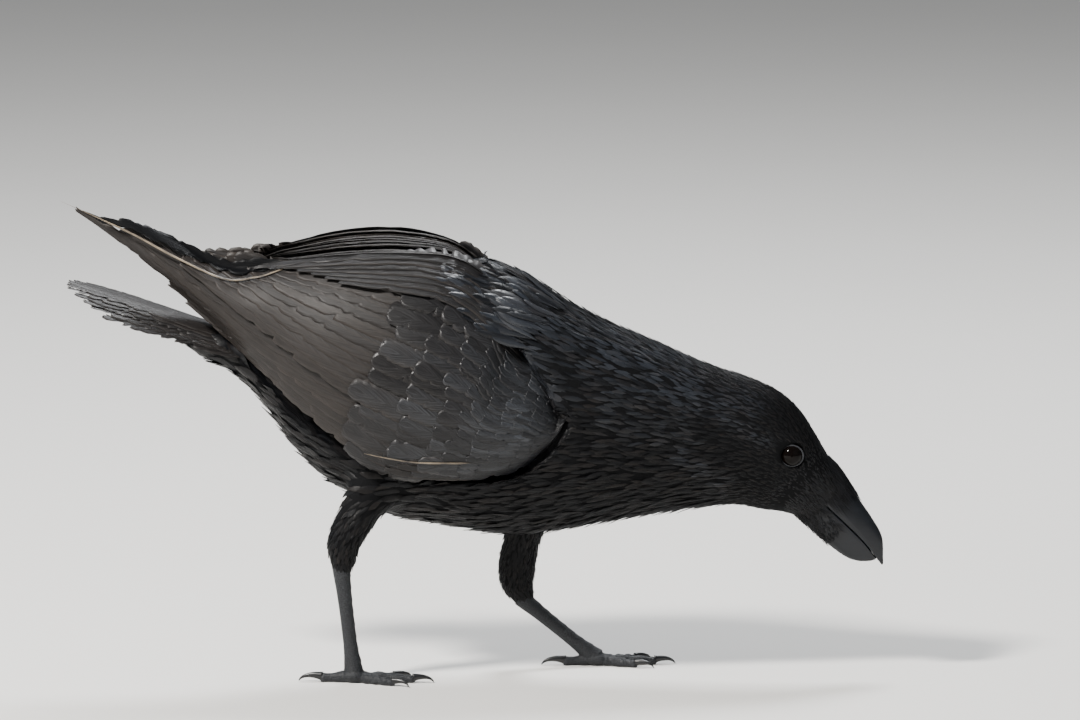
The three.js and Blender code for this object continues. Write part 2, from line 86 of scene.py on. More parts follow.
# The folded wing's chart: s runs from the wrist to the wing tip and h across it.
WRIST = {"x": 57, "z": 195, "rise": math.radians(22)}
WING_LOW = [(-5, -8), (-3, -26), (14, -51), (51, -70), (104, -83), (173, -68), (220, -46),
            (268, -28), (365, -3)]
WING_HIGH = [(-5, -4), (17, 24), (45, 36), (65, 56), (103, 67), (140, 57), (178, 40), (216, 20),
             (256, 2), (371, 2)]
WING_REACH = [(-5, 53), (20, 62), (60, 69), (110, 70), (160, 61), (210, 45), (260, 31), (311, 21),
              (365, 15)]
WING_CREST = 0.35
WING_ROLL = {"over": (0.92, 2.2), "under": (0.2, 2)}
WING_LEAST_HEIGHT = 30
WING_SHARES = (-0.1, 1.1)
WING_RIDGE = 13.8
LEFT_LIFT = {"lift": 13, "from": 82, "to": 254}

# The tail's arched top: where its root is, its rise to the rear and its roll.
TAIL = {"x": -152, "z": 233, "rise": math.radians(18.3), "roll": math.radians(14), "length": 145,
        "shorter": 34, "root_half": 18, "end_half": 29, "arch": 220}


# ---------- curves and charts ----------

def through(rows, share):
    """Rows of numbers on a smooth curve, at shares of its length from 0 to 1."""
    rows = np.asarray(rows, float)
    place = np.clip(np.asarray(share, float), 0, 1) * (len(rows) - 1)
    first = np.minimum(place.astype(int), len(rows) - 2)
    t = (place - first)[..., None]
    before, a, b, after = (rows[np.clip(first + k, 0, len(rows) - 1)] for k in (-1, 0, 1, 2))
    out_a, out_b = (b - before) / 2, (after - a) / 2
    cubic = 2 * a - 2 * b + out_a + out_b
    square = -3 * a + 3 * b - 2 * out_a - out_b
    return ((cubic * t + square) * t + out_a) * t + a


def height_over(points, at):
    """Height at a position on a smooth curve over (position, height) points."""
    table = through(points, np.linspace(0, 1, 12 * len(points)))
    return np.interp(at, table[:, 0], table[:, 1])


def mixed(a, b, share):
    return a + (b - a) * share


def smooth_step(value, low, high):
    t = np.clip((np.asarray(value, float) - low) / (high - low), 0, 1)
    return t * t * (3 - 2 * t)


def unit(vectors):
    return vectors / np.maximum(np.linalg.norm(vectors, axis=-1, keepdims=True), 1e-9)


def body_point(share, angle):
    """A spot on the body's outer form: share runs from the vent to the face, angle from the
    bird's left over its back."""
    x, z, tilt, up, down, side = np.moveaxis(through(BODY, share), -1, 0)
    across, upward = (np.sign(v) * np.abs(v) ** BODY_ROUNDNESS for v in (np.cos(angle), np.sin(angle)))
    height = upward * np.where(upward > 0, up, down)
    tilt = np.radians(tilt)
    return np.stack([x + np.sin(tilt) * height, side * across, z + np.cos(tilt) * height], -1)


def wing_sheet(s, h):
    """How far the folded wing's outer face stands from the middle of the bird."""
    low, high = height_over(WING_LOW, s), height_over(WING_HIGH, s)
    share = np.clip((h - low) / np.maximum(WING_LEAST_HEIGHT, high - low), *WING_SHARES)
    over = np.maximum(0, share - WING_CREST) / (WING_SHARES[1] - WING_CREST)
    under = np.maximum(0, WING_CREST - share) / WING_CREST
    roll = sum(size * part ** power for part, (size, power) in
               ((over, WING_ROLL["over"]), (under, WING_ROLL["under"])))
    return np.maximum(WING_RIDGE, height_over(WING_REACH, s) * (1 - roll))


def on_wing(side, s, h, depth):
    """A spot on a wing's chart, sunk below its outer face by depth."""
    rise = WRIST["rise"]
    hump = np.sin(np.pi * np.clip((s - LEFT_LIFT["from"]) / (LEFT_LIFT["to"] - LEFT_LIFT["from"]), 0, 1))
    lift = LEFT_LIFT["lift"] * hump if side > 0 else 0
    return np.stack([
        WRIST["x"] - math.cos(rise) * s + math.sin(rise) * h,
        side * (wing_sheet(s, h) - depth),
        WRIST["z"] + math.sin(rise) * s + math.cos(rise) * h + lift,
    ], -1)


def wing_chart(points):
    """The place on the wing's chart, s and h, of spots in space, without the left wing's lift."""
    rise = WRIST["rise"]
    back, up = WRIST["x"] - points[..., 0], points[..., 2] - WRIST["z"]
    return back * math.cos(rise) + up * math.sin(rise), up * math.cos(rise) - back * math.sin(rise)


def wing_line(share, s):
    """The height on the wing's chart, at s, of a line that keeps its share between the two edges."""
    return mixed(height_over(WING_LOW, s), height_over(WING_HIGH, s), share)


def on_tail(rear, sideways, height):
    """A spot on the tail: a distance to the rear and sideways, and a height over its arched top."""
    height = height - sideways ** 2 / TAIL["arch"]
    roll, rise = TAIL["roll"], TAIL["rise"]
    y = sideways * math.cos(roll) - height * math.sin(roll)
    up = sideways * math.sin(roll) + height * math.cos(roll)
    x = -rear * math.cos(rise) + up * math.sin(rise)
    z = rear * math.sin(rise) + up * math.cos(rise)
    return np.stack([TAIL["x"] + x, y, TAIL["z"] + z], -1)


# ---------- meshes ----------

def settle():
    """Object mode with nothing selected, as every step starts."""
    if bpy.context.object and bpy.context.object.mode != "OBJECT":
        bpy.ops.object.mode_set(mode="OBJECT")
    bpy.ops.object.select_all(action="DESELECT")


def pick(thing):
    """Makes one object the selected and active one."""
    settle()
    thing.select_set(True)
    bpy.context.view_layer.objects.active = thing


def edit_all(operator, **settings):
    """Runs one operator on the whole of the active mesh, in edit mode."""
    bpy.ops.object.mode_set(mode="EDIT")
    bpy.ops.mesh.select_all(action="SELECT")
    operator(**settings)
    bpy.ops.object.mode_set(mode="OBJECT")


def new_piece(name, points, faces, materials, replaces=()):
    """A piece of the model from points in millimetres and lists of corner numbers."""
    mesh = bpy.data.meshes.new(name)
    faces = [np.asarray(f, np.int32) for f in (faces if isinstance(faces, list) else [faces])]
    mesh.vertices.add(len(points))
    mesh.vertices.foreach_set("co", (points * MM + SHIFT).astype(np.float32).ravel())
    sizes = np.concatenate([np.full(len(f), f.shape[1], np.int32) for f in faces])
    mesh.loops.add(int(sizes.sum()))
    mesh.loops.foreach_set("vertex_index", np.concatenate([f.ravel() for f in faces]))
    mesh.polygons.add(len(sizes))
    mesh.polygons.foreach_set("loop_start", np.concatenate([[0], np.cumsum(sizes)[:-1]]).astype(np.int32))
    mesh.update(calc_edges=True)
    mesh.validate()
    mesh.shade_smooth()
    thing = bpy.data.objects.new(name, mesh)
    bpy.context.collection.objects.link(thing)
    return finish_piece(thing, materials, replaces)


def finish_piece(thing, materials, replaces=()):
    """Gives a piece its materials, its body and the nodes it stands for."""
    thing.data.materials.clear()
    for material in materials:
        thing.data.materials.append(material)
    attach(thing, "root")
    if replaces:
        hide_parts(*replaces)
    return thing


def apply(thing, kind, **settings):
    """Adds a modifier with its settings and applies it."""
    pick(thing)
    modifier = thing.modifiers.new(kind.title(), kind)
    for key, value in settings.items():
        setattr(modifier, key, value)
    bpy.ops.object.modifier_apply(modifier=modifier.name)


def copies_of(name, nodes):
    """One object of copies of construction nodes, with their doubles merged."""
    copies = [bpy.data.objects.new(name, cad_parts[n].data.copy()) for n in nodes]
    settle()
    for thing in copies:
        bpy.context.collection.objects.link(thing)
        thing.select_set(True)
    bpy.context.view_layer.objects.active = copies[0]
    bpy.ops.object.join()
    edit_all(bpy.ops.mesh.remove_doubles, threshold=DOUBLES * MM)
    return copies[0]


def points_of(thing):
    co = np.empty(len(thing.data.vertices) * 3, np.float32)
    thing.data.vertices.foreach_get("co", co)
    return (co.reshape(-1, 3).astype(float) - SHIFT) / MM


def set_points(thing, points):
    thing.data.vertices.foreach_set("co", (points * MM + SHIFT).astype(np.float32).ravel())
    thing.data.update()


def normals_of(thing):
    normals = np.empty(len(thing.data.vertices) * 3, np.float32)
    thing.data.vertex_normals.foreach_get("vector", normals)
    return normals.reshape(-1, 3).astype(float)


def corner_values(thing, name, kind, values):
    """Stores values per vertex as a map (UV) or a colour attribute."""
    mesh = thing.data
    if kind == "UV":
        corners = np.empty(len(mesh.loops), np.int32)
        mesh.loops.foreach_get("vertex_index", corners)
        layer = mesh.uv_layers.new(name=name, do_init=False)
        layer.uv.foreach_set("vector", values[corners].astype(np.float32).ravel())
    else:
        layer = mesh.attributes.new(name, kind, "POINT")
        layer.data.foreach_set("color", values.astype(np.float32).ravel())


# ---------- materials ----------

class Sock:
    """A shader socket that takes part in sums."""

    def __init__(self, shader, link):
        self.shader = shader
        self.link = link

    def math(self, operation, *others):
        values = dict(enumerate((self, *others)))
        return self.shader.node("ShaderNodeMath", {"operation": operation}, values)

    def held(self):
        """The value kept between 0 and 1."""
        return self.math("MAXIMUM", 0).math("MINIMUM", 1)

    def __add__(self, other):
        return self.math("ADD", other)

    def __sub__(self, other):
        return self.math("SUBTRACT", other)

    def __rsub__(self, other):
        return self.shader.node("ShaderNodeMath", {"operation": "SUBTRACT"}, {0: other, 1: self})

    def __mul__(self, other):
        return self.math("MULTIPLY", other)

    def __truediv__(self, other):
        return self.math("DIVIDE", other)

    def __pow__(self, other):
        return self.math("POWER", other)

    __radd__ = __add__
    __rmul__ = __mul__


class Shader:
    """A material and its node tree."""

    def __init__(self, name, **settings):
        self.material = bpy.data.materials.new(name)
        self.material.use_nodes = True
        self.tree = self.material.node_tree
        self.principled = self.tree.nodes["Principled BSDF"]
        for key, value in settings.items():
            socket = key.replace("_", " ").title().replace("Ior", "IOR")
            self.principled.inputs[socket].default_value = value

    def node(self, kind, settings=None, values=None, output=0):
        made = self.tree.nodes.new(kind)
        for key, value in (settings or {}).items():
            setattr(made, key, value)
        for key, value in (values or {}).items():
            self.feed(made.inputs[key], value)
        return Sock(self, made.outputs[output])

    def feed(self, socket, value):
        if isinstance(value, Sock):
            self.tree.links.new(value.link, socket)
        else:
            socket.default_value = value

    def set(self, **sockets):
        for key, value in sockets.items():
            self.feed(self.principled.inputs[key.replace("_", " ").title()], value)

    def object_place(self):
        return self.node("ShaderNodeTexCoord", output="Object")

    def noise(self, place, scale, detail=3.0, rough=0.5):
        return self.node("ShaderNodeTexNoise", None, {
            "Vector": place, "Scale": scale, "Detail": detail, "Roughness": rough})

    def blend(self, factor, a, b, kind="MIX"):
        """A colour between two colours."""
        return self.node("ShaderNodeMix", {"data_type": "RGBA", "blend_type": kind}, {
            "Factor": factor, 6: as_colour(a), 7: as_colour(b)}, output=2)

    def bump(self, height, strength, distance):
        return self.node("ShaderNodeBump", None, {
            "Height": height, "Strength": strength, "Distance": distance})


def as_colour(value):
    return value if isinstance(value, Sock) else (*value[:3], 1.0)


def colour(name):
    return tuple(getattr(bpy.context.scene.raven_colours, name))


def size(name):
    """A size of the model's settings, in millimetres."""
    return getattr(bpy.context.scene.raven_sizes, name) / MM


MADE = {}


def material(name):
    """The named material, made on first use."""
    if name not in MADE:
        MADE[name] = MATERIALS[name]()
    return MADE[name]


def vane_marks(shader):
    """The place on a vane, across from -1 to 1 and along from 0 to 1, and the feather's tones: chance, wear
    and sheen, the last both coat gloss and painted sheen.
    """
    vane = shader.node("ShaderNodeUVMap", {"uv_map": "vane"})
    parts = shader.node("ShaderNodeSeparateXYZ", None, {0: vane})
    across = (parts * 2) - 1
    along = Sock(shader, parts.link.node.outputs[1])
    tones = shader.node("ShaderNodeAttribute", {"attribute_name": "tones"}, output="Color")
    split = shader.node("ShaderNodeSeparateColor", None, {0: tones})
    return across, along, [Sock(shader, split.link.node.outputs[k]) for k in range(3)]


def barb_clumps(shader, across, along, chance, count, slant):
    """Uneven bunches of barbs, which slant from the shaft towards the tip."""
    phase = (along - across.math("ABSOLUTE") * slant) * count
    values = {0: phase, 1: chance * 37 + across.math("SIGN"), 2: across * 0.8}
    place = shader.node("ShaderNodeCombineXYZ", None, values)
    return shader.noise(place, 1, 3, 0.6)


def barbs(shader, across, along, count, slant):
    """A ripple along the barbs, which slant from the shaft towards the tip."""
    phase = (along - across.math("ABSOLUTE") * slant) * count
    wobble = shader.noise(shader.object_place(), 260, 2)
    return (phase + wobble * 2.2).math("SINE") * 0.5 + 0.5


def plumage_material():
    """Glossy black contour feathers, with streaks along their barbs and a painted sheen: glossier feathers
    are coloured a lighter blue, a painted highlight.
    """
    shader = Shader("plumage", specular_ior_level=0.13, coat_roughness=0.3)
    across, along, (chance, wear, sheen) = vane_marks(shader)
    streaks = barbs(shader, across, along, 46, 0.55)
    clumps = shader.noise(shader.object_place(), 420, 3)
    # Painted sheen: the sheen tone blends the black towards the lighter sheen colour as a painted
    # highlight. The same tone also sets the coat's gloss.
    base = shader.blend(sheen, colour("plumage"), colour("sheen"))
    worn = shader.blend(wear * clumps, base, colour("worn"))
    shader.set(
        Base_Color=shader.blend(streaks * 0.5, worn, colour("plumage")),
        Roughness=0.3 + chance * 0.12 + streaks * 0.08,
        Coat_Weight=(sheen * (0.15 + 0.6 * chance)).math("MINIMUM", 1),
        Normal=shader.bump((streaks * 0.6 + clumps * 0.4) * (1 - along ** 5), 0.4, 0.0004),
    )
    return shader.material


def skin_material():
    """The dark skin and down that show between the feathers."""
    shader = Shader("skin", roughness=0.8, specular_ior_level=0.1)
    down = shader.noise(shader.object_place(), 500, 4)
    shader.set(
        Base_Color=shader.blend(down, tuple(0.6 * c for c in colour("plumage")), colour("plumage")),
        Normal=shader.bump(down, 0.5, 0.0005),
    )
    return shader.material


def flight_material():
    """Satin flight feathers, worn to brown at their edges, with a glossy shaft and a painted sheen:
    glossier feathers are coloured a lighter blue-grey, a painted highlight.
    """
    shader = Shader("flight", roughness=0.4, specular_ior_level=0.22, coat_roughness=0.35)
    across, along, (chance, wear, sheen) = vane_marks(shader)
    vane = shader.node("ShaderNodeUVMap", {"uv_map": "vane"})
    long_marks = shader.node("ShaderNodeMapping", {"vector_type": "POINT"}, {
        "Vector": vane, "Scale": (9, 2.2, 1)})
    streaks = shader.noise(long_marks, 2.4, 5, 0.65)
    clumps = shader.noise(shader.object_place(), 160, 4)
    edge = across.math("ABSOLUTE") ** 3
    bunches = barb_clumps(shader, across, along, chance, 52, 0.12)
    # Painted sheen: the sheen tone lightens the colour towards the wing's painted sheen colour, a painted
    # highlight.
    base = shader.blend((sheen * (0.1 + chance)).math("MINIMUM", 1), colour("wing"), colour("wing_painted_sheen"))
    base = shader.blend(((bunches - 0.4) * 5).held(), colour("plumage"), base)
    rubbed = (wear * (0.25 + edge * 0.6 + clumps * 0.5)).math("MINIMUM", 1)
    worn = shader.blend(rubbed, base, colour("worn"))
    shaft = 1 - across.math("ABSOLUTE").math("SMOOTH_MIN", 0.12, 0.02) / 0.12
    shader.set(
        Base_Color=shader.blend(shaft * 0.8, worn, colour("shaft")),
        Roughness=0.36 + chance * 0.12 + streaks * 0.08 + clumps * 0.08,
        Coat_Weight=sheen * bunches * 0.35,
        Normal=shader.bump((bunches + streaks * 0.5) * (1 - along ** 6), 0.5, 0.0006),
    )
    return shader.material


def covert_material():
    """Coverts and scapulars: glossier, with pale worn rims and a painted sheen: glossier feathers are
    coloured a lighter blue-grey, a painted highlight.
    """
    shader = Shader("covert", roughness=0.35, specular_ior_level=0.2, coat_roughness=0.26)
    across, along, (chance, wear, sheen) = vane_marks(shader)
    streaks = barbs(shader, across, along, 60, 0.4)
    clumps = shader.noise(shader.object_place(), 220, 4)
    rim = across.math("ABSOLUTE") ** 4 * (1 - along ** 5) * (0.4 + chance)
    bunches = barb_clumps(shader, across, along, chance, 22, 0.3)
    # Painted sheen: the sheen tone lightens the coverts towards the wing's painted sheen colour, a painted
    # highlight that is mottled at random.
    base = shader.blend(sheen * (0.3 + 0.7 * chance), colour("wing"), colour("wing_painted_sheen"))
    base = shader.blend(((bunches - 0.3) * 2.5).held(), colour("plumage"), base)
    worn = shader.blend((wear * (rim * 0.8 + clumps * 0.4)).math("MINIMUM", 1), base, colour("worn"))
    shader.set(
        Base_Color=shader.blend(streaks * 0.3, worn, colour("plumage")),
        Roughness=0.32 + chance * 0.14 + streaks * 0.1,
        Coat_Weight=sheen * (0.1 + 0.7 * chance) * bunches * (1 - along ** 6),
        Normal=shader.bump((bunches + streaks * 0.3) * (1 - along ** 5), 0.5, 0.0006),
    )
    return shader.material


def quill_material():
    """Cream quills, browner in places."""
    shader = Shader("quill", roughness=0.45)
    grain = shader.noise(shader.object_place(), 90, 3)
    pale = (grain * 1.6 - 0.4).math("MAXIMUM", 0)
    shader.set(Base_Color=shader.blend(pale, colour("shaft"), colour("quill")))
    return shader.material


def horn_material():
    """The bill: dark horn with a cold satin gloss and fine wear along its length."""
    shader = Shader("horn", roughness=0.32, specular_ior_level=0.2, coat_weight=0.22, coat_roughness=0.2)
    place = shader.object_place()
    stretched = shader.node("ShaderNodeMapping", {"vector_type": "POINT"}, {
        "Vector": place, "Rotation": (0, math.radians(-BILL["dip"]), 0), "Scale": (60, 500, 500)})
    grain = shader.noise(stretched, 1, 4)
    spots = shader.noise(place, 900, 3)
    shader.set(
        Base_Color=shader.blend(grain * 0.7 + spots * 0.2, colour("horn"), colour("horn_sheen")),
        Roughness=0.26 + grain * 0.2,
        Normal=shader.bump(grain + spots * 0.5, 0.12, 0.0004),
    )
    return shader.material


def claw_material():
    """Dark glossy horn of the claws."""
    shader = Shader("claw", roughness=0.3)
    grain = shader.noise(shader.object_place(), 300, 3)
    shader.set(Base_Color=shader.blend(grain, colour("horn"), tuple(0.5 * c for c in colour("horn"))),
               Roughness=0.25 + grain * 0.15)
    return shader.material


def scales_material():
    """Slate scales with pale rubbed edges, on the legs and feet."""
    shader = Shader("scales", roughness=0.5, specular_ior_level=0.3)
    place = shader.object_place()
    cells = shader.node("ShaderNodeTexVoronoi", {"feature": "DISTANCE_TO_EDGE"}, {
        "Vector": place, "Scale": 700})
    grain = shader.noise(place, 400, 4)
    edges = 1 - (cells * 9).math("MINIMUM", 1)
    bumpy = shader.bump((cells * 6).math("MINIMUM", 1) + grain * 0.4, 0.45, 0.0005)
    dusty = shader.blend((edges * 0.5 + grain * 0.5) ** 2, colour("scales"), colour("scale_edges"))
    shader.set(Base_Color=dusty, Roughness=0.42 + grain * 0.2, Normal=bumpy)
    return shader.material


def lid_material():
    """Slate beads of the eyelids."""
    shader = Shader("lid", roughness=0.5, specular_ior_level=0.3)
    grain = shader.noise(shader.object_place(), 900, 3)
    shader.set(Base_Color=shader.blend(grain, colour("scales"), colour("scale_edges")))
    return shader.material


def eye_material():
    """A wet, very dark brown eye."""
    shader = Shader("eye", roughness=0.05, specular_ior_level=0.08, coat_weight=0.05, coat_roughness=0.02)
    grain = shader.noise(shader.object_place(), 600, 2)
    shader.set(Base_Color=shader.blend(grain, colour("eye"), tuple(0.4 * c for c in colour("eye"))))
    return shader.material


def floor_material():
    """The stage's pale matt floor."""
    shader = Shader("floor", roughness=0.75)
    grain = shader.noise(shader.object_place(), 3, 2)
    pale = colour("floor")
    shader.set(Base_Color=shader.blend(grain, tuple(0.97 * c for c in pale), pale))
    return shader.material


MATERIALS = {
    "plumage": plumage_material,
    "skin": skin_material,
    "flight": flight_material,
    "covert": covert_material,
    "quill": quill_material,
    "horn": horn_material,
    "claw": claw_material,
    "scales": scales_material,
    "lid": lid_material,
    "eye": eye_material,
    "floor": floor_material,
}


# ---------- skin ----------

BODY_NODES = ["trunk", "neck", "head"] + [f"thigh_{side}" for side in SIDES]
WING_NODES = [f"wing_coverts_{side}" for side in SIDES]
SKIN_SMOOTHING = 14
SKIN_SETTLING = 6
FACE_DEPTH = 0.9  # the coat's depth on the face and the legs
BILL_ROOT_DEPTH = -0.4  # the skin swells a little over the root of the bill
# Where the coat thins: forward on the face, down the legs, and along the bill.
THINNING = {"face": (150, 215), "leg": (75, 135), "bill": (2, 14)}
UNWRAP = {"angle_limit": math.radians(66), "island_margin": 0.002}


def coat_depth(points):
    """How far the skin lies under the coat's outline: thin on the face and legs, deeper on the body."""
    face = smooth_step(points[:, 0], *THINNING["face"])
    leg = 1 - smooth_step(points[:, 2], *THINNING["leg"])
    body = mixed(size("coat_depth"), FACE_DEPTH, np.maximum(face, leg))
    return mixed(body, BILL_ROOT_DEPTH, smooth_step(bill_reach(points), *THINNING["bill"]))


def bill_reach(points):
    """How far along the bill's axis points are, from the corner of the mouth."""
    dip = math.radians(BILL["dip"])
    return (points[:, 0] - BILL["x"]) * math.cos(dip) - (points[:, 2] - BILL["z"]) * math.sin(dip)


def flesh(name, nodes):
    """Copies of construction nodes run together into one smooth form, inside them by the coat's depth."""
    form = copies_of(name, nodes)
    apply(form, "REMESH", mode="VOXEL", voxel_size=size("skin_step") * MM)
    apply(form, "SMOOTH", factor=0.5, iterations=SKIN_SMOOTHING)
    points = points_of(form)
    wing = under_wing(points)
    points[wing, 1] -= np.sign(points[wing, 1]) * size("wing_sink")
    points[~wing] -= (normals_of(form) * coat_depth(points)[:, None])[~wing]
    set_points(form, points)
    apply(form, "SMOOTH", factor=0.5, iterations=SKIN_SETTLING)
    return form


def make_skin():
    """The skin, with its unwrap for baking."""
    skin = flesh("skin", BODY_NODES + WING_NODES)
    pick(skin)
    bpy.ops.object.shade_smooth()
    while skin.data.uv_layers:
        skin.data.uv_layers.remove(skin.data.uv_layers[0])
    skin.data.uv_layers.new(name="OFBake")
    edit_all(bpy.ops.uv.smart_project, **UNWRAP)
    finish_piece(skin, [material("skin")], BODY_NODES + WING_NODES)


class Hide:
    """A surface to lay feathers on: nearest spots, smooth normals and, on the skin, its unwrap."""

    TRIES = 2.2  # how many spots are strewn for each that the spacing has room for
    APART = 0.78  # how near two kept spots may come, as a share of the spacing

    def __init__(self, points, corners, normals, unwrap=None):
        self.points, self.corners, self.normals = points, corners, normals
        self.unwrap = np.zeros((*corners.shape, 2)) if unwrap is None else unwrap
        self.tree = BVHTree.FromPolygons(points.tolist(), corners.tolist())

    @classmethod
    def of(cls, thing):
        mesh = thing.data
        mesh.calc_loop_triangles()
        count = len(mesh.loop_triangles) * 3
        corners, loops = np.empty(count, np.int32), np.empty(count, np.int32)
        mesh.loop_triangles.foreach_get("vertices", corners)
        mesh.loop_triangles.foreach_get("loops", loops)
        unwrap = None
        if "OFBake" in mesh.uv_layers:
            unwrap = np.empty(len(mesh.loops) * 2, np.float32)
            mesh.uv_layers["OFBake"].uv.foreach_get("vector", unwrap)
            unwrap = unwrap.reshape(-1, 2)[loops.reshape(-1, 3)]
        return cls(points_of(thing), corners.reshape(-1, 3), normals_of(thing), unwrap)

    def nearest(self, spots):
        """The nearest places on the surface: spot, smoothed normal and unwrap place of each."""
        faces = np.empty(len(spots), int)
        found = np.empty((len(spots), 3))
        for i, spot in enumerate(spots):
            place, _, face, _ = self.tree.find_nearest(Vector(spot))
            faces[i] = face
            found[i] = place
        a, b, c = (self.points[self.corners[faces, k]] for k in range(3))
        area = np.cross(b - a, c - a)
        whole = np.maximum((area ** 2).sum(1), 1e-12)
        share_b = (np.cross(found - a, c - a) * area).sum(1) / whole
        share_c = (np.cross(b - a, found - a) * area).sum(1) / whole
        shares = np.clip(np.stack([1 - share_b - share_c, share_b, share_c], 1), 0, 1)[..., None]
        normals = unit((self.normals[self.corners[faces]] * shares).sum(1))
        return found, normals, (self.unwrap[faces] * shares).sum(1)

    def scatter(self, spacing_at, seed):
        """Spots spread evenly over the surface, as far apart as spacing_at(spots) says, 0 for none."""
        chance = np.random.default_rng(seed)
        a, b, c = (self.points[self.corners[:, k]] for k in range(3))
        areas = np.linalg.norm(np.cross(b - a, c - a), axis=1) / 2
        spacing = spacing_at((a + b + c) / 3)
        wanted = np.where(spacing > 0, areas / np.maximum(spacing, 0.1) ** 2, 0) * self.TRIES
        faces = np.repeat(np.arange(len(areas)), chance.poisson(wanted))
        chance.shuffle(faces)
        u, v = chance.random((2, len(faces), 1))
        over = u + v > 1
        u, v = np.where(over, 1 - u, u), np.where(over, 1 - v, v)
        spots = a[faces] + (b - a)[faces] * u + (c - a)[faces] * v
        near = self.APART * spacing_at(spots)
        tree = KDTree(len(spots))
        for i, spot in enumerate(spots):
            tree.insert(spot, i)
        tree.balance()
        kept = near > 0
        for i in range(len(spots)):
            if kept[i]:
                for _, other, _ in tree.find_range(spots[i], near[i]):
                    if other > i:
                        kept[other] = False
        return spots[kept]


# ---------- the lie of the coat ----------

# The surface that the scapulars lie on: its shares along the body, its angles in half turns, how
# finely it is sampled, how far outside the rays start, how often it is filled and smoothed, and how
# high it lies over the wings and the body.
ENVELOPE = {"share": (0.12, 0.74), "angle": (-0.35, 1.35), "steps": (150, 120), "far": 170,
            "filling": 14, "smoothing": 8, "over_wing": 1.6, "over_body": 1.8}


def neighbours_mean(field):
    """The mean of each value's four neighbours on a grid."""
    padded = np.pad(field, 1, mode="edge")
    return (padded[1:-1, :-2] + padded[1:-1, 2:] + padded[:-2, 1:-1] + padded[2:, 1:-1]) / 4


def envelope(hide):
    """A smooth surface over the back that carries on over the fronts of the folded wings."""
    share, angle = np.meshgrid(np.linspace(*ENVELOPE["share"], ENVELOPE["steps"][0]),
                               np.pi * np.linspace(*ENVELOPE["angle"], ENVELOPE["steps"][1]), indexing="ij")
    rows = through(BODY, share)
    middle = np.stack([rows[..., 0], 0 * share, rows[..., 1]], -1)
    way = unit(body_point(share, angle) - middle)
    reach = np.linalg.norm(body_point(share, angle) - middle, axis=-1)
    for place in np.ndindex(share.shape):
        start = middle[place] + way[place] * ENVELOPE["far"]
        spot = hide.tree.ray_cast(Vector(start), Vector(-way[place]))[0]
        if spot is not None:
            reach[place] = np.linalg.norm(np.array(spot) - middle[place])
    raised = under_wing(middle + way * reach[..., None])
    reach += np.where(raised, size("wing_sink") + ENVELOPE["over_wing"], ENVELOPE["over_body"])
    for _ in range(ENVELOPE["filling"]):
        reach = np.maximum(reach, neighbours_mean(reach))
    for _ in range(ENVELOPE["smoothing"]):
        reach = neighbours_mean(reach)
    points = middle + way * reach[..., None]
    normals = unit(np.cross(np.gradient(points, axis=0), np.gradient(points, axis=1)))
    normals *= np.sign((normals * way).sum(-1, keepdims=True))
    index = np.arange(share.size).reshape(share.shape)
    a, b, c, d = index[:-1, :-1], index[1:, :-1], index[1:, 1:], index[:-1, 1:]
    corners = np.concatenate([np.stack(three, -1).reshape(-1, 3) for three in ((a, b, c), (a, c, d))])
    return Hide(points.reshape(-1, 3), corners, normals.reshape(-1, 3))


class Lie:
    """Where spots are on the body's form, and which way the coat lies there."""

    STEPS = (150, 96)
    STRIDE = 0.01  # how far ahead and behind the flow is measured, as a share of the body

    def __init__(self):
        share = np.linspace(0, 1, self.STEPS[0])[:, None]
        angle = np.linspace(-np.pi, np.pi, self.STEPS[1], endpoint=False)[None, :]
        share, angle = np.broadcast_arrays(share, angle)
        here, ahead = body_point(share, angle), body_point(share + self.STRIDE, angle)
        behind = body_point(share - self.STRIDE, angle)
        self.flow = unit(behind - ahead).reshape(-1, 3)
        self.share, self.angle = share.ravel(), angle.ravel()
        spots = here.reshape(-1, 3)
        self.tree = KDTree(len(spots))
        for i, spot in enumerate(spots):
            self.tree.insert(spot, i)
        self.tree.balance()

    def at(self, spots):
        """Share along the body, sine of the angle round it and flow towards the tail."""
        nearest = np.array([self.tree.find(spot)[1] for spot in spots])
        return self.share[nearest], np.sin(self.angle[nearest]), self.flow[nearest]


# The feathered thighs from hip to heel, by side: x, z and half thickness fore and aft.
THIGHS = {
    -1: [(-68, 146, 24), (-84, 120, 16.5), (-94.5, 101, 14.3), (-95.5, 86, 10.4), (-96, 75, 6.2)],
    1: [(38, 126, 24), (31, 98, 15), (26, 74, 14.2), (26, 58, 13), (34, 45, 6.6)],
}


THIGH_ROOM = 5  # how far outside a thigh's solid a spot may be, and how far from the middle it is
THIGH_FADE = 2  # a thigh's own coat fades in between its two topmost rows, short of each by this
THIGH_STEP = 4  # the way down the leg is measured over this height
THIGH_LEAN = 0.12  # how much the feathers lean to the rear as they run down


def thigh_share(spots):
    """How much each spot belongs to a thigh, from 0 to 1, and the way down that leg."""
    share = np.zeros(len(spots))
    way = np.tile([0.0, 0, -1], (len(spots), 1))
    for side, rows in THIGHS.items():
        heights = [z for _, z, _ in rows][::-1]
        middle = np.interp(spots[:, 2], heights, [x for x, _, _ in rows][::-1])
        girth = np.interp(spots[:, 2], heights, [fore for _, _, fore in rows][::-1])
        near = (np.abs(spots[:, 0] - middle) < girth + THIGH_ROOM) & (spots[:, 1] * side > THIGH_ROOM)
        here = near * (1 - smooth_step(spots[:, 2], rows[1][1] + THIGH_FADE, rows[0][1] - THIGH_FADE))
        below = np.interp(spots[:, 2] - THIGH_STEP, heights, [x for x, _, _ in rows][::-1])
        way[near, 0] = (below - middle)[near] / THIGH_STEP - THIGH_LEAN
        share = np.maximum(share, here)
    return share, unit(way)


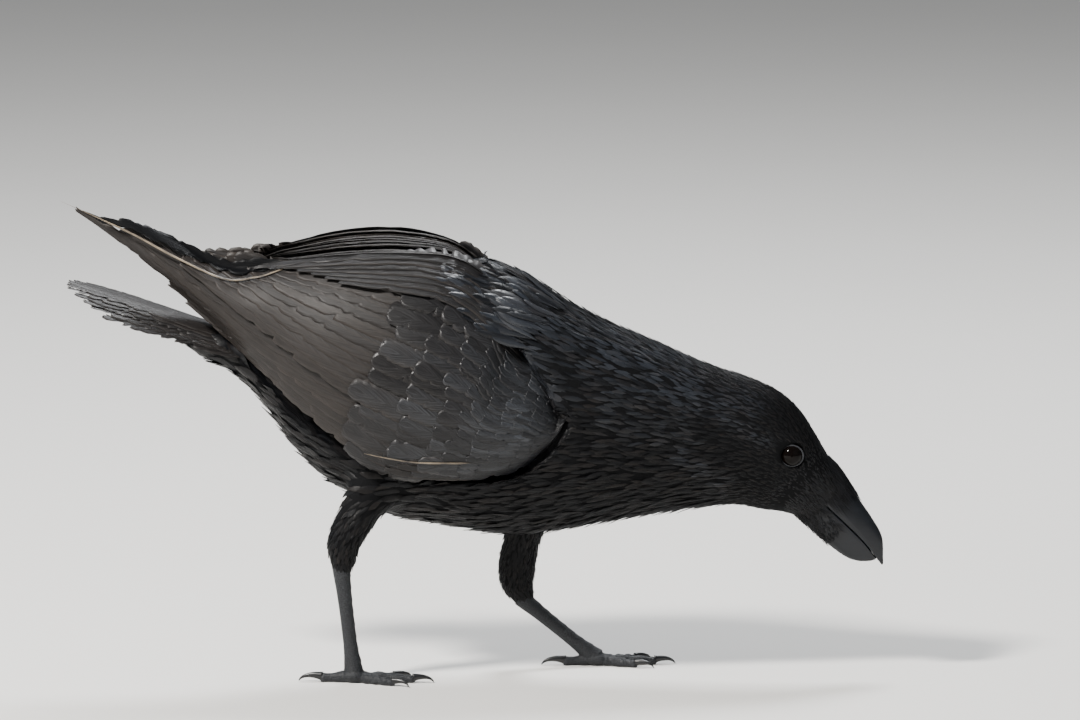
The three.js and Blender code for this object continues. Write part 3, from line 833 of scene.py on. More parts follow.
WING_LEAST_OUT = 11  # nothing nearer to the bird's middle than this is a wing's
WING_THICK = 19  # how far inside its outer face a folded wing covers the body
WING_FRONT, WING_END = 5, 330  # how far it covers ahead of the wrist and towards the tip


def under_wing(spots, margin=0):
    """Which spots the folded wings cover, at least a margin inside their edges."""
    s, h = wing_chart(spots)
    low, high = height_over(WING_LOW, s), height_over(WING_HIGH, s)
    high = high + np.where(spots[..., 1] > 0, LEFT_LIFT["lift"] * 0.5, 0)
    inside = (s > margin - WING_FRONT) & (s < WING_END) & (h > low + margin) & (h < high - margin)
    return inside & (np.abs(spots[..., 1]) > np.maximum(wing_sheet(s, h) - WING_THICK, WING_LEAST_OUT))


# ---------- vanes ----------

def vane_form(segments, rings):
    """A vane's plain form, modelled as a flat spindle: across, along and up from the rachis."""
    settle()
    bpy.ops.mesh.primitive_uv_sphere_add(segments=segments, ring_count=rings, radius=1)
    form = bpy.context.object
    edit_all(bpy.ops.transform.rotate, value=math.pi / 2, orient_axis="X", center_override=(0, 0, 0))
    spots = np.array([v.co for v in form.data.vertices])
    form.data.calc_loop_triangles()
    faces = np.array([tuple(t.vertices) for t in form.data.loop_triangles])
    bpy.data.objects.remove(form)
    across, along, up = spots[:, 0], spots[:, 1] * 0.5 + 0.5, spots[:, 2]
    edge = np.sqrt(np.maximum(1e-9, 1 - spots[:, 1] ** 2))
    return {"across": across / np.maximum(edge, 1e-3) * (edge > 1e-3), "along": along,
            "up": up / np.maximum(edge, 1e-3) * (edge > 1e-3), "faces": faces}


def outline(along, widest, bluntness):
    """A vane's half width from root to tip: where it is widest and how blunt its ends are."""
    power = math.log(0.5) / math.log(widest)
    return np.sin(np.pi * np.clip(along, 0, 1) ** power) ** bluntness


VANE_TWIST = 0.16


def lay_vanes(form, spine, normals, look, seed):
    """Copies the vane's form along each feather's own spine of four spots.

    look holds, for each feather or for all: width, thick, lift at root and tip, curl, camber,
    widest and bluntness. Returns points and faces."""
    chance = np.random.default_rng(seed)
    count = len(spine)
    t = form["along"]
    knots = np.array([0, 1 / 3, 2 / 3, 1])
    weights = np.stack([
        np.prod([(t - knots[j]) / (knots[i] - knots[j]) for j in range(4) if j != i], axis=0)
        for i in range(4)], 1)
    ahead = np.stack([
        np.prod([(t + 1e-3 - knots[j]) / (knots[i] - knots[j]) for j in range(4) if j != i], axis=0)
        for i in range(4)], 1)
    middle = np.einsum("vk,nkc->nvc", weights, spine)
    forward = unit(np.einsum("vk,nkc->nvc", ahead, spine) - middle)
    upward = np.einsum("vk,nkc->nvc", weights, normals)
    upward = unit(upward - forward * (upward * forward).sum(-1, keepdims=True))
    sideways = np.cross(forward, upward)
    column = {key: np.broadcast_to(np.asarray(value, float), (count,))[:, None]
              for key, value in look.items() if key not in ("widest", "bluntness")}
    half = column["width"] / 2 * outline(t, look["widest"], look["bluntness"])[None, :]
    twist = chance.normal(0, VANE_TWIST, (count, 1)) * t
    across = form["across"][None, :] * half
    lift = mixed(column["root"], column["tip"], t[None, :] ** 1.4) + column["curl"] * t[None, :] ** 4
    height = (form["up"] * np.sin(np.pi * np.clip(t, 0.02, 0.98)) ** 0.5)[None, :] * column["thick"] / 2
    height = height + lift - column["camber"] * form["across"][None, :] ** 2 * half + twist * across
    points = middle + sideways * across[..., None] + upward * height[..., None]
    faces = (form["faces"][None] + (np.arange(count) * len(t))[:, None, None]).reshape(-1, 3)
    return points.reshape(-1, 3), faces


BARB_STEPS = (-1, -0.6, -0.28, 0, 0.28, 0.6, 1)  # points along a row of barbs, from side to side
TIP_FILL, TIP_OVER = 0.85, 0.7  # how far the last barbs fill up and pass a feather's tip


class Blades:
    """Collects large feathers, each with barbs on either side of a shaft on a chart."""

    def __init__(self, seed):
        self.chance = np.random.default_rng(seed)
        self.points, self.faces, self.vane, self.tones, self.roots, self.walls = [], [], [], [], [], []

    def add(self, place, shaft, halves, depth, shingle=1.0, rachis=0.7, thick=0.4, pointed=0.55,
            fray=0.12, splits=2, rows=36, droop=0.0, wear=0.3, sheen=0.3, curl=0.0, slants=(46, 30)):
        """One feather: place(s, h, depth) is its chart, shaft its line on it, halves its barbs' reach
        below and above the shaft. slants are the barbs' angles at root and tip, in degrees; shingle
        tips the vane to one side, droop bends both sides down and curl lifts the tip."""
        chance = self.chance
        t = np.linspace(0, 1, rows)
        line = through(shaft, t)
        tangent = unit(np.gradient(line, axis=0))
        normal = np.stack([-tangent[:, 1], tangent[:, 0]], 1)
        slant = np.radians(mixed(*slants, t) * (1 - 0.6 * smooth_step(t, 0.8, 1)))
        length = np.linalg.norm(np.diff(line, axis=0), axis=1).sum()
        room = TIP_FILL * (length * (1 - t) + TIP_OVER) / np.cos(slant)
        ending = np.clip(room / max(halves), 0.05, 1)
        grown = smooth_step(t, 0, 0.16) * (1 - pointed * t ** 3)
        a = np.array(BARB_STEPS)[None, :]
        reach = np.empty((rows, len(BARB_STEPS)))
        for k, sign in enumerate((-1, 1)):
            clumps = (t * chance.integers(7, 13) + chance.random() + 0.15 * chance.random(rows)) % 1
            barb = grown * (1 - fray * clumps ** 2 - fray * 0.25 * chance.random(rows))
            for _ in range(splits):
                at = chance.uniform(0.35, 0.97)
                barb = barb * (1 - chance.uniform(0.2, 0.6) * np.exp(-((t - at) / 0.012) ** 2))
            side = (a[0] * sign >= 0) if k else (a[0] < 0)
            last = room * (0.85 + 0.15 * barb / grown.clip(0.1))
            reach[:, side] = np.minimum(barb * halves[k], last)[:, None]
        out = np.abs(a) * reach
        along, across = out * np.cos(slant)[:, None], np.sign(a) * out * np.sin(slant)[:, None]
        s = line[:, :1] + tangent[:, :1] * along + normal[:, :1] * across
        h = line[:, 1:] + tangent[:, 1:] * along + normal[:, 1:] * across
        ridge = np.exp(-(a / 0.16) ** 2) * rachis * (1.05 - t)[:, None]
        ripple = 0.12 * np.sin(t[:, None] * 9 + a * 3 + chance.uniform(0, 6)) * a ** 2
        wide = np.where(a < 0, *halves) * math.sin(math.radians(slants[1]))
        tilt = shingle * across / wide + droop * (across / wide) ** 2 + ripple * ending[:, None]
        sunk = depth + tilt - ridge - curl * t[:, None] ** 3
        body = thick * (1 - 0.85 * a ** 2) * (1 - 0.75 * t[:, None] ** 2) + 0.8 * ridge
        top, bottom = place(s, h, sunk), place(s, h, sunk + body)
        start = sum(len(p) for p in self.points)
        index = np.arange(rows * len(BARB_STEPS)).reshape(rows, len(BARB_STEPS))
        corners = [index[:-1, :-1], index[1:, :-1], index[1:, 1:], index[:-1, 1:]]
        quads = np.stack(corners, -1).reshape(-1, 4)
        rim = np.concatenate([index[0, :], index[1:, -1], index[-1, -2::-1], index[-2:0:-1, 0]])
        below = index.size
        wall = np.stack([rim, np.roll(rim, -1), np.roll(rim, -1) + below, rim + below], 1)
        self.faces.append(np.concatenate([quads[:, ::-1], quads + below, wall]) + start)
        self.walls.append(np.arange(2 * len(quads) + len(wall)) >= 2 * len(quads))
        self.points.append(np.concatenate([top.reshape(-1, 3), bottom.reshape(-1, 3)]))
        vane = np.stack(np.broadcast_arrays(a * 0.5 + 0.5, t[:, None]), -1).reshape(-1, 2)
        self.vane.append(np.tile(vane, (2, 1)))
        # Tones: chance, wear, and sheen, which is coat gloss and painted sheen.
        tone = np.array([chance.random(), wear * chance.uniform(0.6, 1.3), sheen, 1])
        self.tones.append(np.tile(np.clip(tone, 0, 1), (2 * below, 1)))
        self.roots.append((place(line[:1, 0], line[:1, 1], depth)[0], 2 * below))

    def piece(self, name, materials, replaces=(), slot="flight_feather", hide=None):
        """Makes the piece; its bake map lies on the skin's unwrap, or is a sheet of its own."""
        thing = new_piece(name, np.concatenate(self.points), np.concatenate(self.faces),
                          materials, replaces)
        thing.data.polygons.foreach_set("use_smooth", ~np.concatenate(self.walls))
        vane = np.concatenate(self.vane)
        counts = [count for _, count in self.roots]
        if hide:
            patches = hide.nearest(np.array([root for root, _ in self.roots]))[2]
            patches = np.clip(patches, PATCH / 2, 1 - PATCH / 2)
            bake = np.repeat(patches, counts, axis=0) + (vane - 0.5) * PATCH
        else:
            cells = math.ceil(math.sqrt(len(counts)))
            number = np.repeat(np.arange(len(counts)), counts)
            bake = (np.stack([number % cells, number // cells], 1) + 0.04 + 0.92 * vane) / cells
        corner_values(thing, "OFBake", "UV", bake)
        corner_values(thing, "vane", "UV", vane)
        corner_values(thing, "tones", "FLOAT_COLOR", np.concatenate(self.tones))
        face_outward(thing)
        return thing


def face_outward(thing):
    """Turns all faces of closed forms outward."""
    pick(thing)
    edit_all(bpy.ops.mesh.normals_make_consistent, inside=False)


# ---------- wings ----------

# How each kind of large feather is made, in Blades.add's own words.
LOOKS = {
    "primary": dict(shingle=0.35, rachis=0.6, thick=0.28, rows=64, fray=0.16, splits=6, sheen=0.1,
                    slants=(44, 30)),
    "secondary": dict(shingle=0.32, rachis=0.55, thick=0.28, pointed=0.35, rows=54, fray=0.14, splits=6,
                      wear=0.45, sheen=0.14, droop=0.35, slants=(50, 38)),
    # The inner vane is painted shade: unworn, without sheen, and made in the black plumage.
    "inner vane": dict(shingle=0.1, rachis=0.2, thick=0.25, pointed=0.3, rows=60, fray=0.3, splits=7,
                       wear=0, sheen=0, slants=(52, 34)),
    "quill": dict(shingle=0, rachis=0.5, thick=0.7, pointed=0.6, rows=70, fray=0, splits=0, wear=0,
                  sheen=0, slants=(70, 60)),
    "tertial": dict(shingle=0.5, rachis=0.5, thick=0.25, pointed=0.1, rows=64, fray=0.3, splits=9,
                    wear=0.7, sheen=0.15, slants=(34, 22)),
    "edge covert": dict(shingle=0.4, rachis=0.5, thick=0.3, pointed=0.3, rows=30, fray=0.08, sheen=0.2),
    "covert": dict(shingle=0.35, rachis=0.25, thick=0.2, pointed=0.3, fray=0.12, splits=2, droop=0.5,
                   slants=(66, 52)),
    "tail": dict(rachis=0.7, thick=0.3, pointed=0.1, rows=70, fray=0.2, splits=12, wear=0.3, sheen=0.12,
                 droop=0.6, slants=(50, 40)),
}

# Shafts on the wing's chart: s and h of the root, s and h of the tip, and how far each bows down.
PRIMARIES = [(68, -70, 250, -39, 15), (70, -67, 268, -33, 15), (72, -62, 284, -26, 15),
             (74, -57, 296, -19, 15), (76, -52, 306, -12, 14), (79, -47, 364, -3, 13),
             (82, -42, 328, -1, 12), (85, -37, 308, 2, 11)]
SECONDARIES = [(88, -34, 284, -8, 12), (92, -18, 274, -2, 8), (96, -2, 262, 4, 4),
               (100, 14, 246, 9, 0), (104, 30, 226, 15, -3), (104, 46, 204, 23, -5)]
SECONDARY_COUNT = 11
# The innermost feathers of both wings, which close the back between them.
TERTIALS = {"count": 15, "across": (0.5, 29), "breadth": 30, "start": (20, 60), "end": (196, 236),
            "under_edge": 0.3, "out": 0.8}
BOW_PEAK = 6.75  # makes t(1 - t)^2 peak at 1


def bowed(row, points=9):
    """A shaft from its row of root, tip and bow."""
    s0, h0, s1, h1, bow = row
    t = np.linspace(0, 1, points)
    return np.stack([mixed(s0, s1, t), mixed(h0, h1, t) - bow * BOW_PEAK * t * (1 - t) ** 2], 1)


def share_shaft(s0, s1, share0, share1, points=7):
    """A shaft along the wing's own lines."""
    t = np.linspace(0, 1, points)
    s = mixed(s0, s1, t)
    return np.stack([s, wing_line(mixed(share0, share1, t), s)], 1)


def make_flight_feathers():
    """Both wings' primaries and secondaries, the tertials between them and the near wing's quills."""
    for side_name, side in SIDES.items():
        def place(s, h, depth):
            return on_wing(side, s, h, depth)
        fan = Blades(21 + side)
        for k, row in enumerate(PRIMARIES):
            longest = row[2] > 350
            # Painted shade: the far (left) wing's primaries are left unworn, so they stay darker, where
            # shade falls on them.
            fan.add(place, bowed(row), (10, 24 if longest else 15), 8.4 - 0.1 * k,
                    pointed=0.8 if longest else 0.35, wear=0.55 if side < 0 else 0, **LOOKS["primary"])
        fan.piece(f"primaries_{side_name}", [material("flight")], [f"wing_primaries_{side_name}"])
        fan = Blades(31 + side)
        for k, share in enumerate(np.linspace(0, 1, SECONDARY_COUNT)):
            row = through(SECONDARIES, share)
            row[2] += fan.chance.uniform(-3, 3)
            raised = 0.35 * k if side > 0 else 0
            above = mixed(17, 9, smooth_step(k, 6, 10))
            fan.add(place, bowed(row), (9, above), 4.6 - 0.13 * k - raised, **LOOKS["secondary"])
        fan.piece(f"secondaries_{side_name}", [material("flight")], [f"wing_secondaries_{side_name}"])
    make_tertials()
    make_quills()


# Bare quills and the longest primary's inner vane on the near wing's chart; the vane is painted shade.
QUILLS = [[(376, 0), (325, -1.6), (290, -5), (252, -6.5), (232, 2), (219, 12), (199, 30)],
          [(45, -57), (62, -64), (84, -72), (116, -79)]]
INNER_VANE = [(216, 20), (232, 10), (252, 1), (288, 2), (322, 3), (346, -1)]


def make_quills():
    """The longest primary's inner vane, made in the black plumage as painted shade, and two bare quills."""
    def place(s, h, depth):
        return on_wing(-1, s, h, depth)
    vane, quills = Blades(81), Blades(82)
    vane.add(place, INNER_VANE, (6, 8), 2.6, **LOOKS["inner vane"])
    for line, depth in zip(QUILLS, (1.8, -0.6)):
        quills.add(place, line, (0.7, 0.7), depth, **LOOKS["quill"])
    vane.piece("inner_vane", [material("plumage")])
    quills.piece("quills", [material("quill")])


def on_back(s, across, depth):
    """A spot between the folded wings: from the right wing's upper edge to the left one's."""
    edge = height_over(WING_HIGH, s) - TERTIALS["under_edge"]
    right, left = (on_wing(side, s, edge, TERTIALS["out"]) for side in (-1, 1))
    spot = mixed(right, left, (across / TERTIALS["breadth"])[..., None])
    spot[..., 2] -= depth
    return spot


def make_tertials():
    """Long narrow feathers between the folded wings, laid in a random order."""
    fan = Blades(71)
    for share in np.random.default_rng(72).permutation(np.linspace(0, 1, TERTIALS["count"])):
        across = mixed(*TERTIALS["across"], share)
        start, end = (fan.chance.uniform(*TERTIALS[key]) for key in ("start", "end"))
        t = np.linspace(0, 1, 8)
        shaft = np.stack([mixed(start, end, t), across + fan.chance.normal(0, 0.8) * t], 1)
        fan.add(on_back, shaft, (4.5, 4.5), fan.chance.uniform(-1.2, 1.0), **LOOKS["tertial"])
    fan.piece("tertials", [material("flight")])


# Rows of wing coverts from the flight feathers forward to the bend of the wing: where the tips are on
# the chart, length, how many across the wing, depth under the wing's outer face, wear and sheen. The sheen
# is coat gloss and a painted highlight, strongest on the lesser coverts near the bend.
COVERT_ROWS = [(134, 60, 13, 1.5, 0.5, 0.4), (102, 46, 15, 0.8, 0.5, 0.55), (80, 34, 18, 0.3, 0.45, 0.7),
               (63, 27, 21, -0.1, 0.3, 0.85), (49, 21, 24, -0.4, 0.22, 0.95), (37, 17, 25, -0.6, 0.15, 1),
               (27, 14, 25, -0.8, 0.1, 1), (18, 12, 23, -0.9, 0.05, 0.8), (10, 10, 20, -0.9, 0, 0.5),
               (3, 8, 15, -0.9, 0, 0.3)]
COVERT_SPAN = (0.0, 0.98)
# Stacks along the wing's upper and lower edges: how many, shares, starts, ends, reach below and above,
# depth and wear.
EDGE_ROWS = [(7, (0.84, 1.0), (34, 26), (176, 236), (7, 3), -0.9, 0.5),
             (8, (0.02, 0.2), (44, 50), (124, 112), (6, 9), 1.8, 0.9),
             (3, (-0.01, 0.06), (24, 26), (98, 84), (4.5, 7), 0.3, 1.0)]


def make_wing_coverts():
    """The rows of coverts on both wings, with the stacks along their edges."""
    hide = Hide.of(bpy.data.objects["skin"])
    for side_name, side in SIDES.items():
        def place(s, h, depth):
            return on_wing(side, s, h, depth)
        rows = Blades(41 + side)
        for count, shares, starts, ends, halves, depth, wear in EDGE_ROWS:
            for share in np.linspace(0, 1, count):
                line = mixed(*shares, share)
                shaft = share_shaft(mixed(*starts, share), mixed(*ends, share), line, line)
                rows.add(place, shaft, halves, depth, wear=wear, **LOOKS["edge covert"])
        for number, (end, length, count, depth, wear, sheen) in enumerate(COVERT_ROWS):
            breadth = wing_line(1, end - length / 3) - wing_line(0, end - length / 3)
            half = 0.95 * breadth / count
            for k in range(count):
                across = k + 0.5 * (number % 2) + rows.chance.normal(0, 0.18)
                share = mixed(*COVERT_SPAN, across / (count - 0.5))
                tip = end + rows.chance.normal(0, 0.075 * length)
                root = tip - length * rows.chance.uniform(0.95, 1.1)
                shaft = share_shaft(root, tip, share, share + rows.chance.normal(0, 0.008))
                below = half * rows.chance.uniform(0.85, 1.2)
                rows.add(place, shaft, (below, below * 1.3), depth + rows.chance.normal(0, 0.14),
                         rows=max(12, int(length / 1.8)), wear=wear,
                         sheen=sheen * rows.chance.uniform(0.6, 1), curl=rows.chance.uniform(-0.2, 0.5),
                         **LOOKS["covert"])
        rows.piece(f"coverts_{side_name}", [material("covert")], slot="plumage", hide=hide)


# ---------- tail ----------

RECTRICES = {"count": 12, "halves": (9.5, 9.5), "step": 0.36, "top": 0.3, "spread": 0.88, "shingle": 0.6}


def make_tail():
    """The tail's fan, each feather deeper than the next towards the middle."""
    fan = Blades(51)
    for place_out in np.linspace(-1, 1, RECTRICES["count"]):
        rank = abs(place_out) * RECTRICES["count"] / 2
        length = TAIL["length"] - TAIL["shorter"] * place_out ** 2 + fan.chance.uniform(-4, 1)
        t = np.linspace(0, 1, 6)
        out = place_out * mixed(TAIL["root_half"], TAIL["end_half"], t ** 0.5) * RECTRICES["spread"]
        fan.add(lambda s, h, depth: on_tail(s, h, -depth), np.stack([length * t, out], 1),
                RECTRICES["halves"], RECTRICES["top"] + RECTRICES["step"] * rank,
                shingle=-RECTRICES["shingle"] * np.sign(place_out), **LOOKS["tail"])
    fan.piece("rectrices", [material("flight")], ["tail"])


# ---------- small parts ----------

def closed_tube(place, steps, sides):
    """A closed smooth form from place(along, angle, out), with a pole at each end."""
    along = np.concatenate([[0], np.linspace(0, 1, steps), [1]])
    out = np.concatenate([[0], np.ones(steps), [0]])
    angle = np.linspace(0, 2 * np.pi, sides, endpoint=False)
    rings = place(along[1:-1, None], angle[None, :], out[1:-1, None]).reshape(-1, 3)
    nothing = np.zeros((1, 1))
    poles = [place(np.full((1, 1), at), nothing, nothing).reshape(1, 3) for at in (0.0, 1.0)]
    index = np.arange(steps * sides).reshape(steps, sides)
    ahead = np.roll(index, -1, axis=1)
    quads = np.stack([index[:-1], ahead[:-1], ahead[1:], index[1:]], -1).reshape(-1, 4)
    first, last = steps * sides, steps * sides + 1
    caps = [np.stack([ahead[0], index[0], np.full(sides, first)], 1),
            np.stack([index[-1], ahead[-1], np.full(sides, last)], 1)]
    return np.concatenate([rings, *poles]), [quads, np.concatenate(caps)]


def tubes_piece(name, tubes, materials, replaces=()):
    """One piece of closed tubes."""
    points, faces, start = [], [], 0
    for spots, sets in tubes:
        points.append(spots)
        faces.extend(f + start for f in sets)
        start += len(spots)
    thing = new_piece(name, np.concatenate(points), faces, materials, replaces)
    face_outward(thing)
    return thing


def bill_spot(reach, across, height):
    """A spot beside the mouth's line: a distance along it, sideways and above it."""
    dip = math.radians(BILL["dip"])
    reach, across, height = np.broadcast_arrays(reach, across, height)
    return np.stack([BILL["x"] + math.cos(dip) * reach + math.sin(dip) * height, across,
                     BILL["z"] - math.sin(dip) * reach + math.cos(dip) * height], -1)


def bill_half(rows, share, flat_side, steps=48, sides=44):
    """The upper half of the bill with its flat side below, or the lower with it above."""
    def place(along, angle, out):
        crest, rim, half = np.moveaxis(through(rows, along), -1, 0)
        rim = rim - flat_side * BILL["rim"]
        ending = np.sqrt(1 - np.clip((along - BILL_END) / (1 - BILL_END), 0, 1) ** 2 * 0.97)
        crest, half = rim + (crest - rim) * ending, half * ending
        upward = np.sin(angle) * out
        bulge = np.abs(crest - rim) * np.abs(upward) ** 0.8
        flat = upward * flat_side > 0
        height = rim + np.sign(upward) * np.where(flat, BILL["rim"] * np.abs(upward), bulge)
        width = half * np.cos(angle) * out
        pinch = 1 - 0.1 * np.sin(np.pi * np.clip(np.abs(upward), 0, 1)) * ~flat
        return bill_spot(mixed(-BILL["root"], BILL["length"] * share, along), width * pinch, height)
    return closed_tube(place, steps, sides)


def make_bill():
    """The two halves of the bill."""
    halves = {"upper": (UPPER_BILL, 1, -1), "lower": (LOWER_BILL, BILL["lower_share"], 1)}
    for half, (rows, share, flat_side) in halves.items():
        tubes_piece(f"{half}_bill", [bill_half(rows, share, flat_side)], [material("horn")],
                    [f"bill_{half}"])


LID = {"crest": 7.6, "beads": 30, "steps": (120, 14)}


def make_eyes():
    """Dark eyes with a ring of beaded lid."""
    for side_name, side in SIDES.items():
        def ball(along, angle, out):
            polar = along * np.pi
            ring = EYE["radius"] * np.sin(polar) * out
            return np.stack(np.broadcast_arrays(
                EYE["x"] + ring * np.cos(angle), side * (EYE["out"] - EYE["radius"] * np.cos(polar)),
                EYE["z"] + ring * np.sin(angle)), -1)
        tubes_piece(f"eyeball_{side_name}", [closed_tube(ball, 40, 48)], [material("eye")],
                    [f"eye_{side_name}"])
        around, section = (np.linspace(0, 2 * np.pi, steps, endpoint=False) for steps in LID["steps"])
        around, section = around[:, None], section[None, :]
        tube = size("lid_thickness") * (1 + 0.22 * np.cos(LID["beads"] * around))
        radius = LID["crest"] + 0.35 * np.cos(2 * around) + tube * 1.3 * np.cos(section)
        seat = np.sqrt(EYE["radius"] ** 2 - (LID["crest"] - 0.3) ** 2)
        y = side * (EYE["out"] + seat + tube * np.sin(section) * 0.9)
        points = np.stack(np.broadcast_arrays(
            EYE["x"] + radius * np.cos(around), y, EYE["z"] + radius * np.sin(around)), -1).reshape(-1, 3)
        index = np.arange(math.prod(LID["steps"])).reshape(LID["steps"])
        ahead = np.roll(index, -1, 0)
        quads = np.stack([index, ahead, np.roll(ahead, -1, 1), np.roll(index, -1, 1)], -1).reshape(-1, 4)
        lid = new_piece(f"lid_{side_name}", points, quads, [material("lid")])
        face_outward(lid)


# ---------- legs and feet ----------

LEGS = {
    "right": dict(ankle=(-96, 34, 73), foot=(-88, 34, 4.5), heading=-4),
    "left": dict(ankle=(35, 34, 43), foot=(82, 35, 4.5), heading=3),
}
TARSUS_WIDTHS = [5.4, 4.5, 4.2, 4.4, 6]
TARSUS_DEPTH = 1.15
HEEL = 9  # how far the tarsus reaches up into the feathered shank
TARSUS_SCUTES = 9
BALL = (9, 7.5, 5)  # the ball of the foot: half its length, width and height
# Turn towards the middle of the bird, length without the claw, thickness, pads and claw size.
TOES = {"hind": (180, 24, 4.1, 1, 1.2), "inner": (24, 31, 3.7, 2, 1), "middle": (0, 43, 3.9, 3, 1.05),
        "outer": (-26, 33, 3.6, 4, 0.95)}
TOE_GIRTH = (1.1, 0.78)
PAD_SWELL = 0.13
CLAW = {"length": 14, "radius": 2.7, "tip": 0.55, "arch": 3.4, "lean": (0.3, -1.1), "width": 0.85,
        "root": 1.5, "taper": 0.8, "turn": 1.35}
SOLE_CUT = 0.7  # how far the toes and the ball are set below the floor, which cuts them flat
FOOT_VOXEL = 0.55
SOLE_FLAT = 0.35  # whatever is lower than this lies on the floor


def scute(phase):
    """The rise of overlapping scales: each swells slowly and drops at its end."""
    part = phase % 1
    return part ** 2 * (1 - smooth_step(part, 0.86, 1))


def on_toe(leg, side, turn, distance, across, height):
    """A spot beside a toe's line, which starts at the ball of the foot."""
    turn = math.radians(leg["heading"] - turn * side)
    x, y, _ = leg["foot"]
    distance, across, height = np.broadcast_arrays(distance, across, height)
    return np.stack([x + math.cos(turn) * distance - math.sin(turn) * across,
                     side * y + math.sin(turn) * distance + math.cos(turn) * across, height], -1)


def foot_tubes(leg, side):
    """The closed forms of a tarsus, the ball of its foot and its toes."""
    ankle, foot = np.array(leg["ankle"], float), np.array(leg["foot"], float)
    ankle = ankle + unit(ankle - foot) * HEEL
    line = unit(np.array([foot[0] - ankle[0], 0, foot[2] - ankle[2]]))

    def tarsus(along, angle, out):
        wide = through(np.array(TARSUS_WIDTHS)[:, None], along)[..., 0]
        front = smooth_step(np.cos(angle), -0.1, 0.5)
        scales = 1 + 0.09 * scute(along * TARSUS_SCUTES + 0.1 * np.abs(np.sin(angle))) * front
        centre = ankle + (foot - ankle) * along[..., None]
        fore = np.cos(angle) * out * wide * TARSUS_DEPTH * scales
        sides = np.sin(angle) * out * wide * scales
        return np.stack(np.broadcast_arrays(
            centre[..., 0] - line[2] * fore, side * (centre[..., 1] + sides),
            centre[..., 2] + line[0] * fore), -1)

    def ball(along, angle, out):
        polar = along * np.pi
        return np.stack(np.broadcast_arrays(
            foot[0] - BALL[0] * np.cos(polar),
            side * foot[1] + BALL[1] * np.sin(polar) * np.cos(angle) * out,
            BALL[2] - SOLE_CUT + BALL[2] * np.sin(polar) * np.sin(angle) * out), -1)

    tubes = [closed_tube(tarsus, 120, 40), closed_tube(ball, 20, 28)]
    for turn, length, radius, pads, _ in TOES.values():
        def toe(along, angle, out):
            swell = 1 + PAD_SWELL * np.cos(2 * np.pi * (along * (pads + 0.5) - 0.5))
            girth = radius * mixed(*TOE_GIRTH, along)
            above = smooth_step(np.sin(angle), 0, 0.6)
            scales = 1 + 0.07 * scute(along * length / 3.1) * above
            end = np.sqrt(np.clip(1 - np.clip((along - 0.9) / 0.1, 0, 1) ** 2, 0.12, 1))
            reach = girth * swell * out * scales * end
            return on_toe(leg, side, turn, length * along, reach * np.cos(angle),
                          girth - SOLE_CUT + reach * np.sin(angle))
        tubes.append(closed_tube(toe, 90, 26))
    return tubes


def make_feet():
    """Scaled tarsi and toes, each foot one skin, and the claws."""
    for side_name, side in SIDES.items():
        leg = LEGS[side_name]
        nodes = [f"tarsus_{side_name}", f"foot_{side_name}"]
        foot = tubes_piece(f"scales_{side_name}", foot_tubes(leg, side), [material("scales")], nodes)
        apply(foot, "REMESH", mode="VOXEL", voxel_size=FOOT_VOXEL * MM)
        points = points_of(foot)
        points[:, 2] = np.maximum(points[:, 2], 0)
        set_points(foot, points)
        apply(foot, "SMOOTH", factor=0.4, iterations=1)
        points = points_of(foot)
        points[points[:, 2] < SOLE_FLAT, 2] = 0
        set_points(foot, points)
        foot.data.shade_smooth()
        for toe_name, (turn, length, radius, _, claw) in TOES.items():
            def place(along, angle, out):
                girth = mixed(CLAW["radius"], CLAW["tip"] * 0.5, along ** CLAW["taper"]) * claw * out
                arch = CLAW["arch"] * claw * 2 * along * (1 - along)
                height = CLAW["tip"] + (radius - SOLE_CUT) * (1 - along) + arch
                lean = mixed(*CLAW["lean"], along)
                reach = length - CLAW["root"] + CLAW["length"] * claw * np.sin(CLAW["turn"] * along)
                return on_toe(leg, side, turn, reach - girth * np.sin(angle) * np.sin(lean),
                              girth * np.cos(angle) * CLAW["width"],
                              height + girth * np.sin(angle) * np.cos(lean))
            tubes_piece(f"talon_{toe_name}_{side_name}", [closed_tube(place, 24, 20)], [material("claw")],
                        [f"claw_{toe_name}_{side_name}"])


# ---------- bristles ----------

CHIN_BRISTLE = 0.5  # width of a bristle under the chin


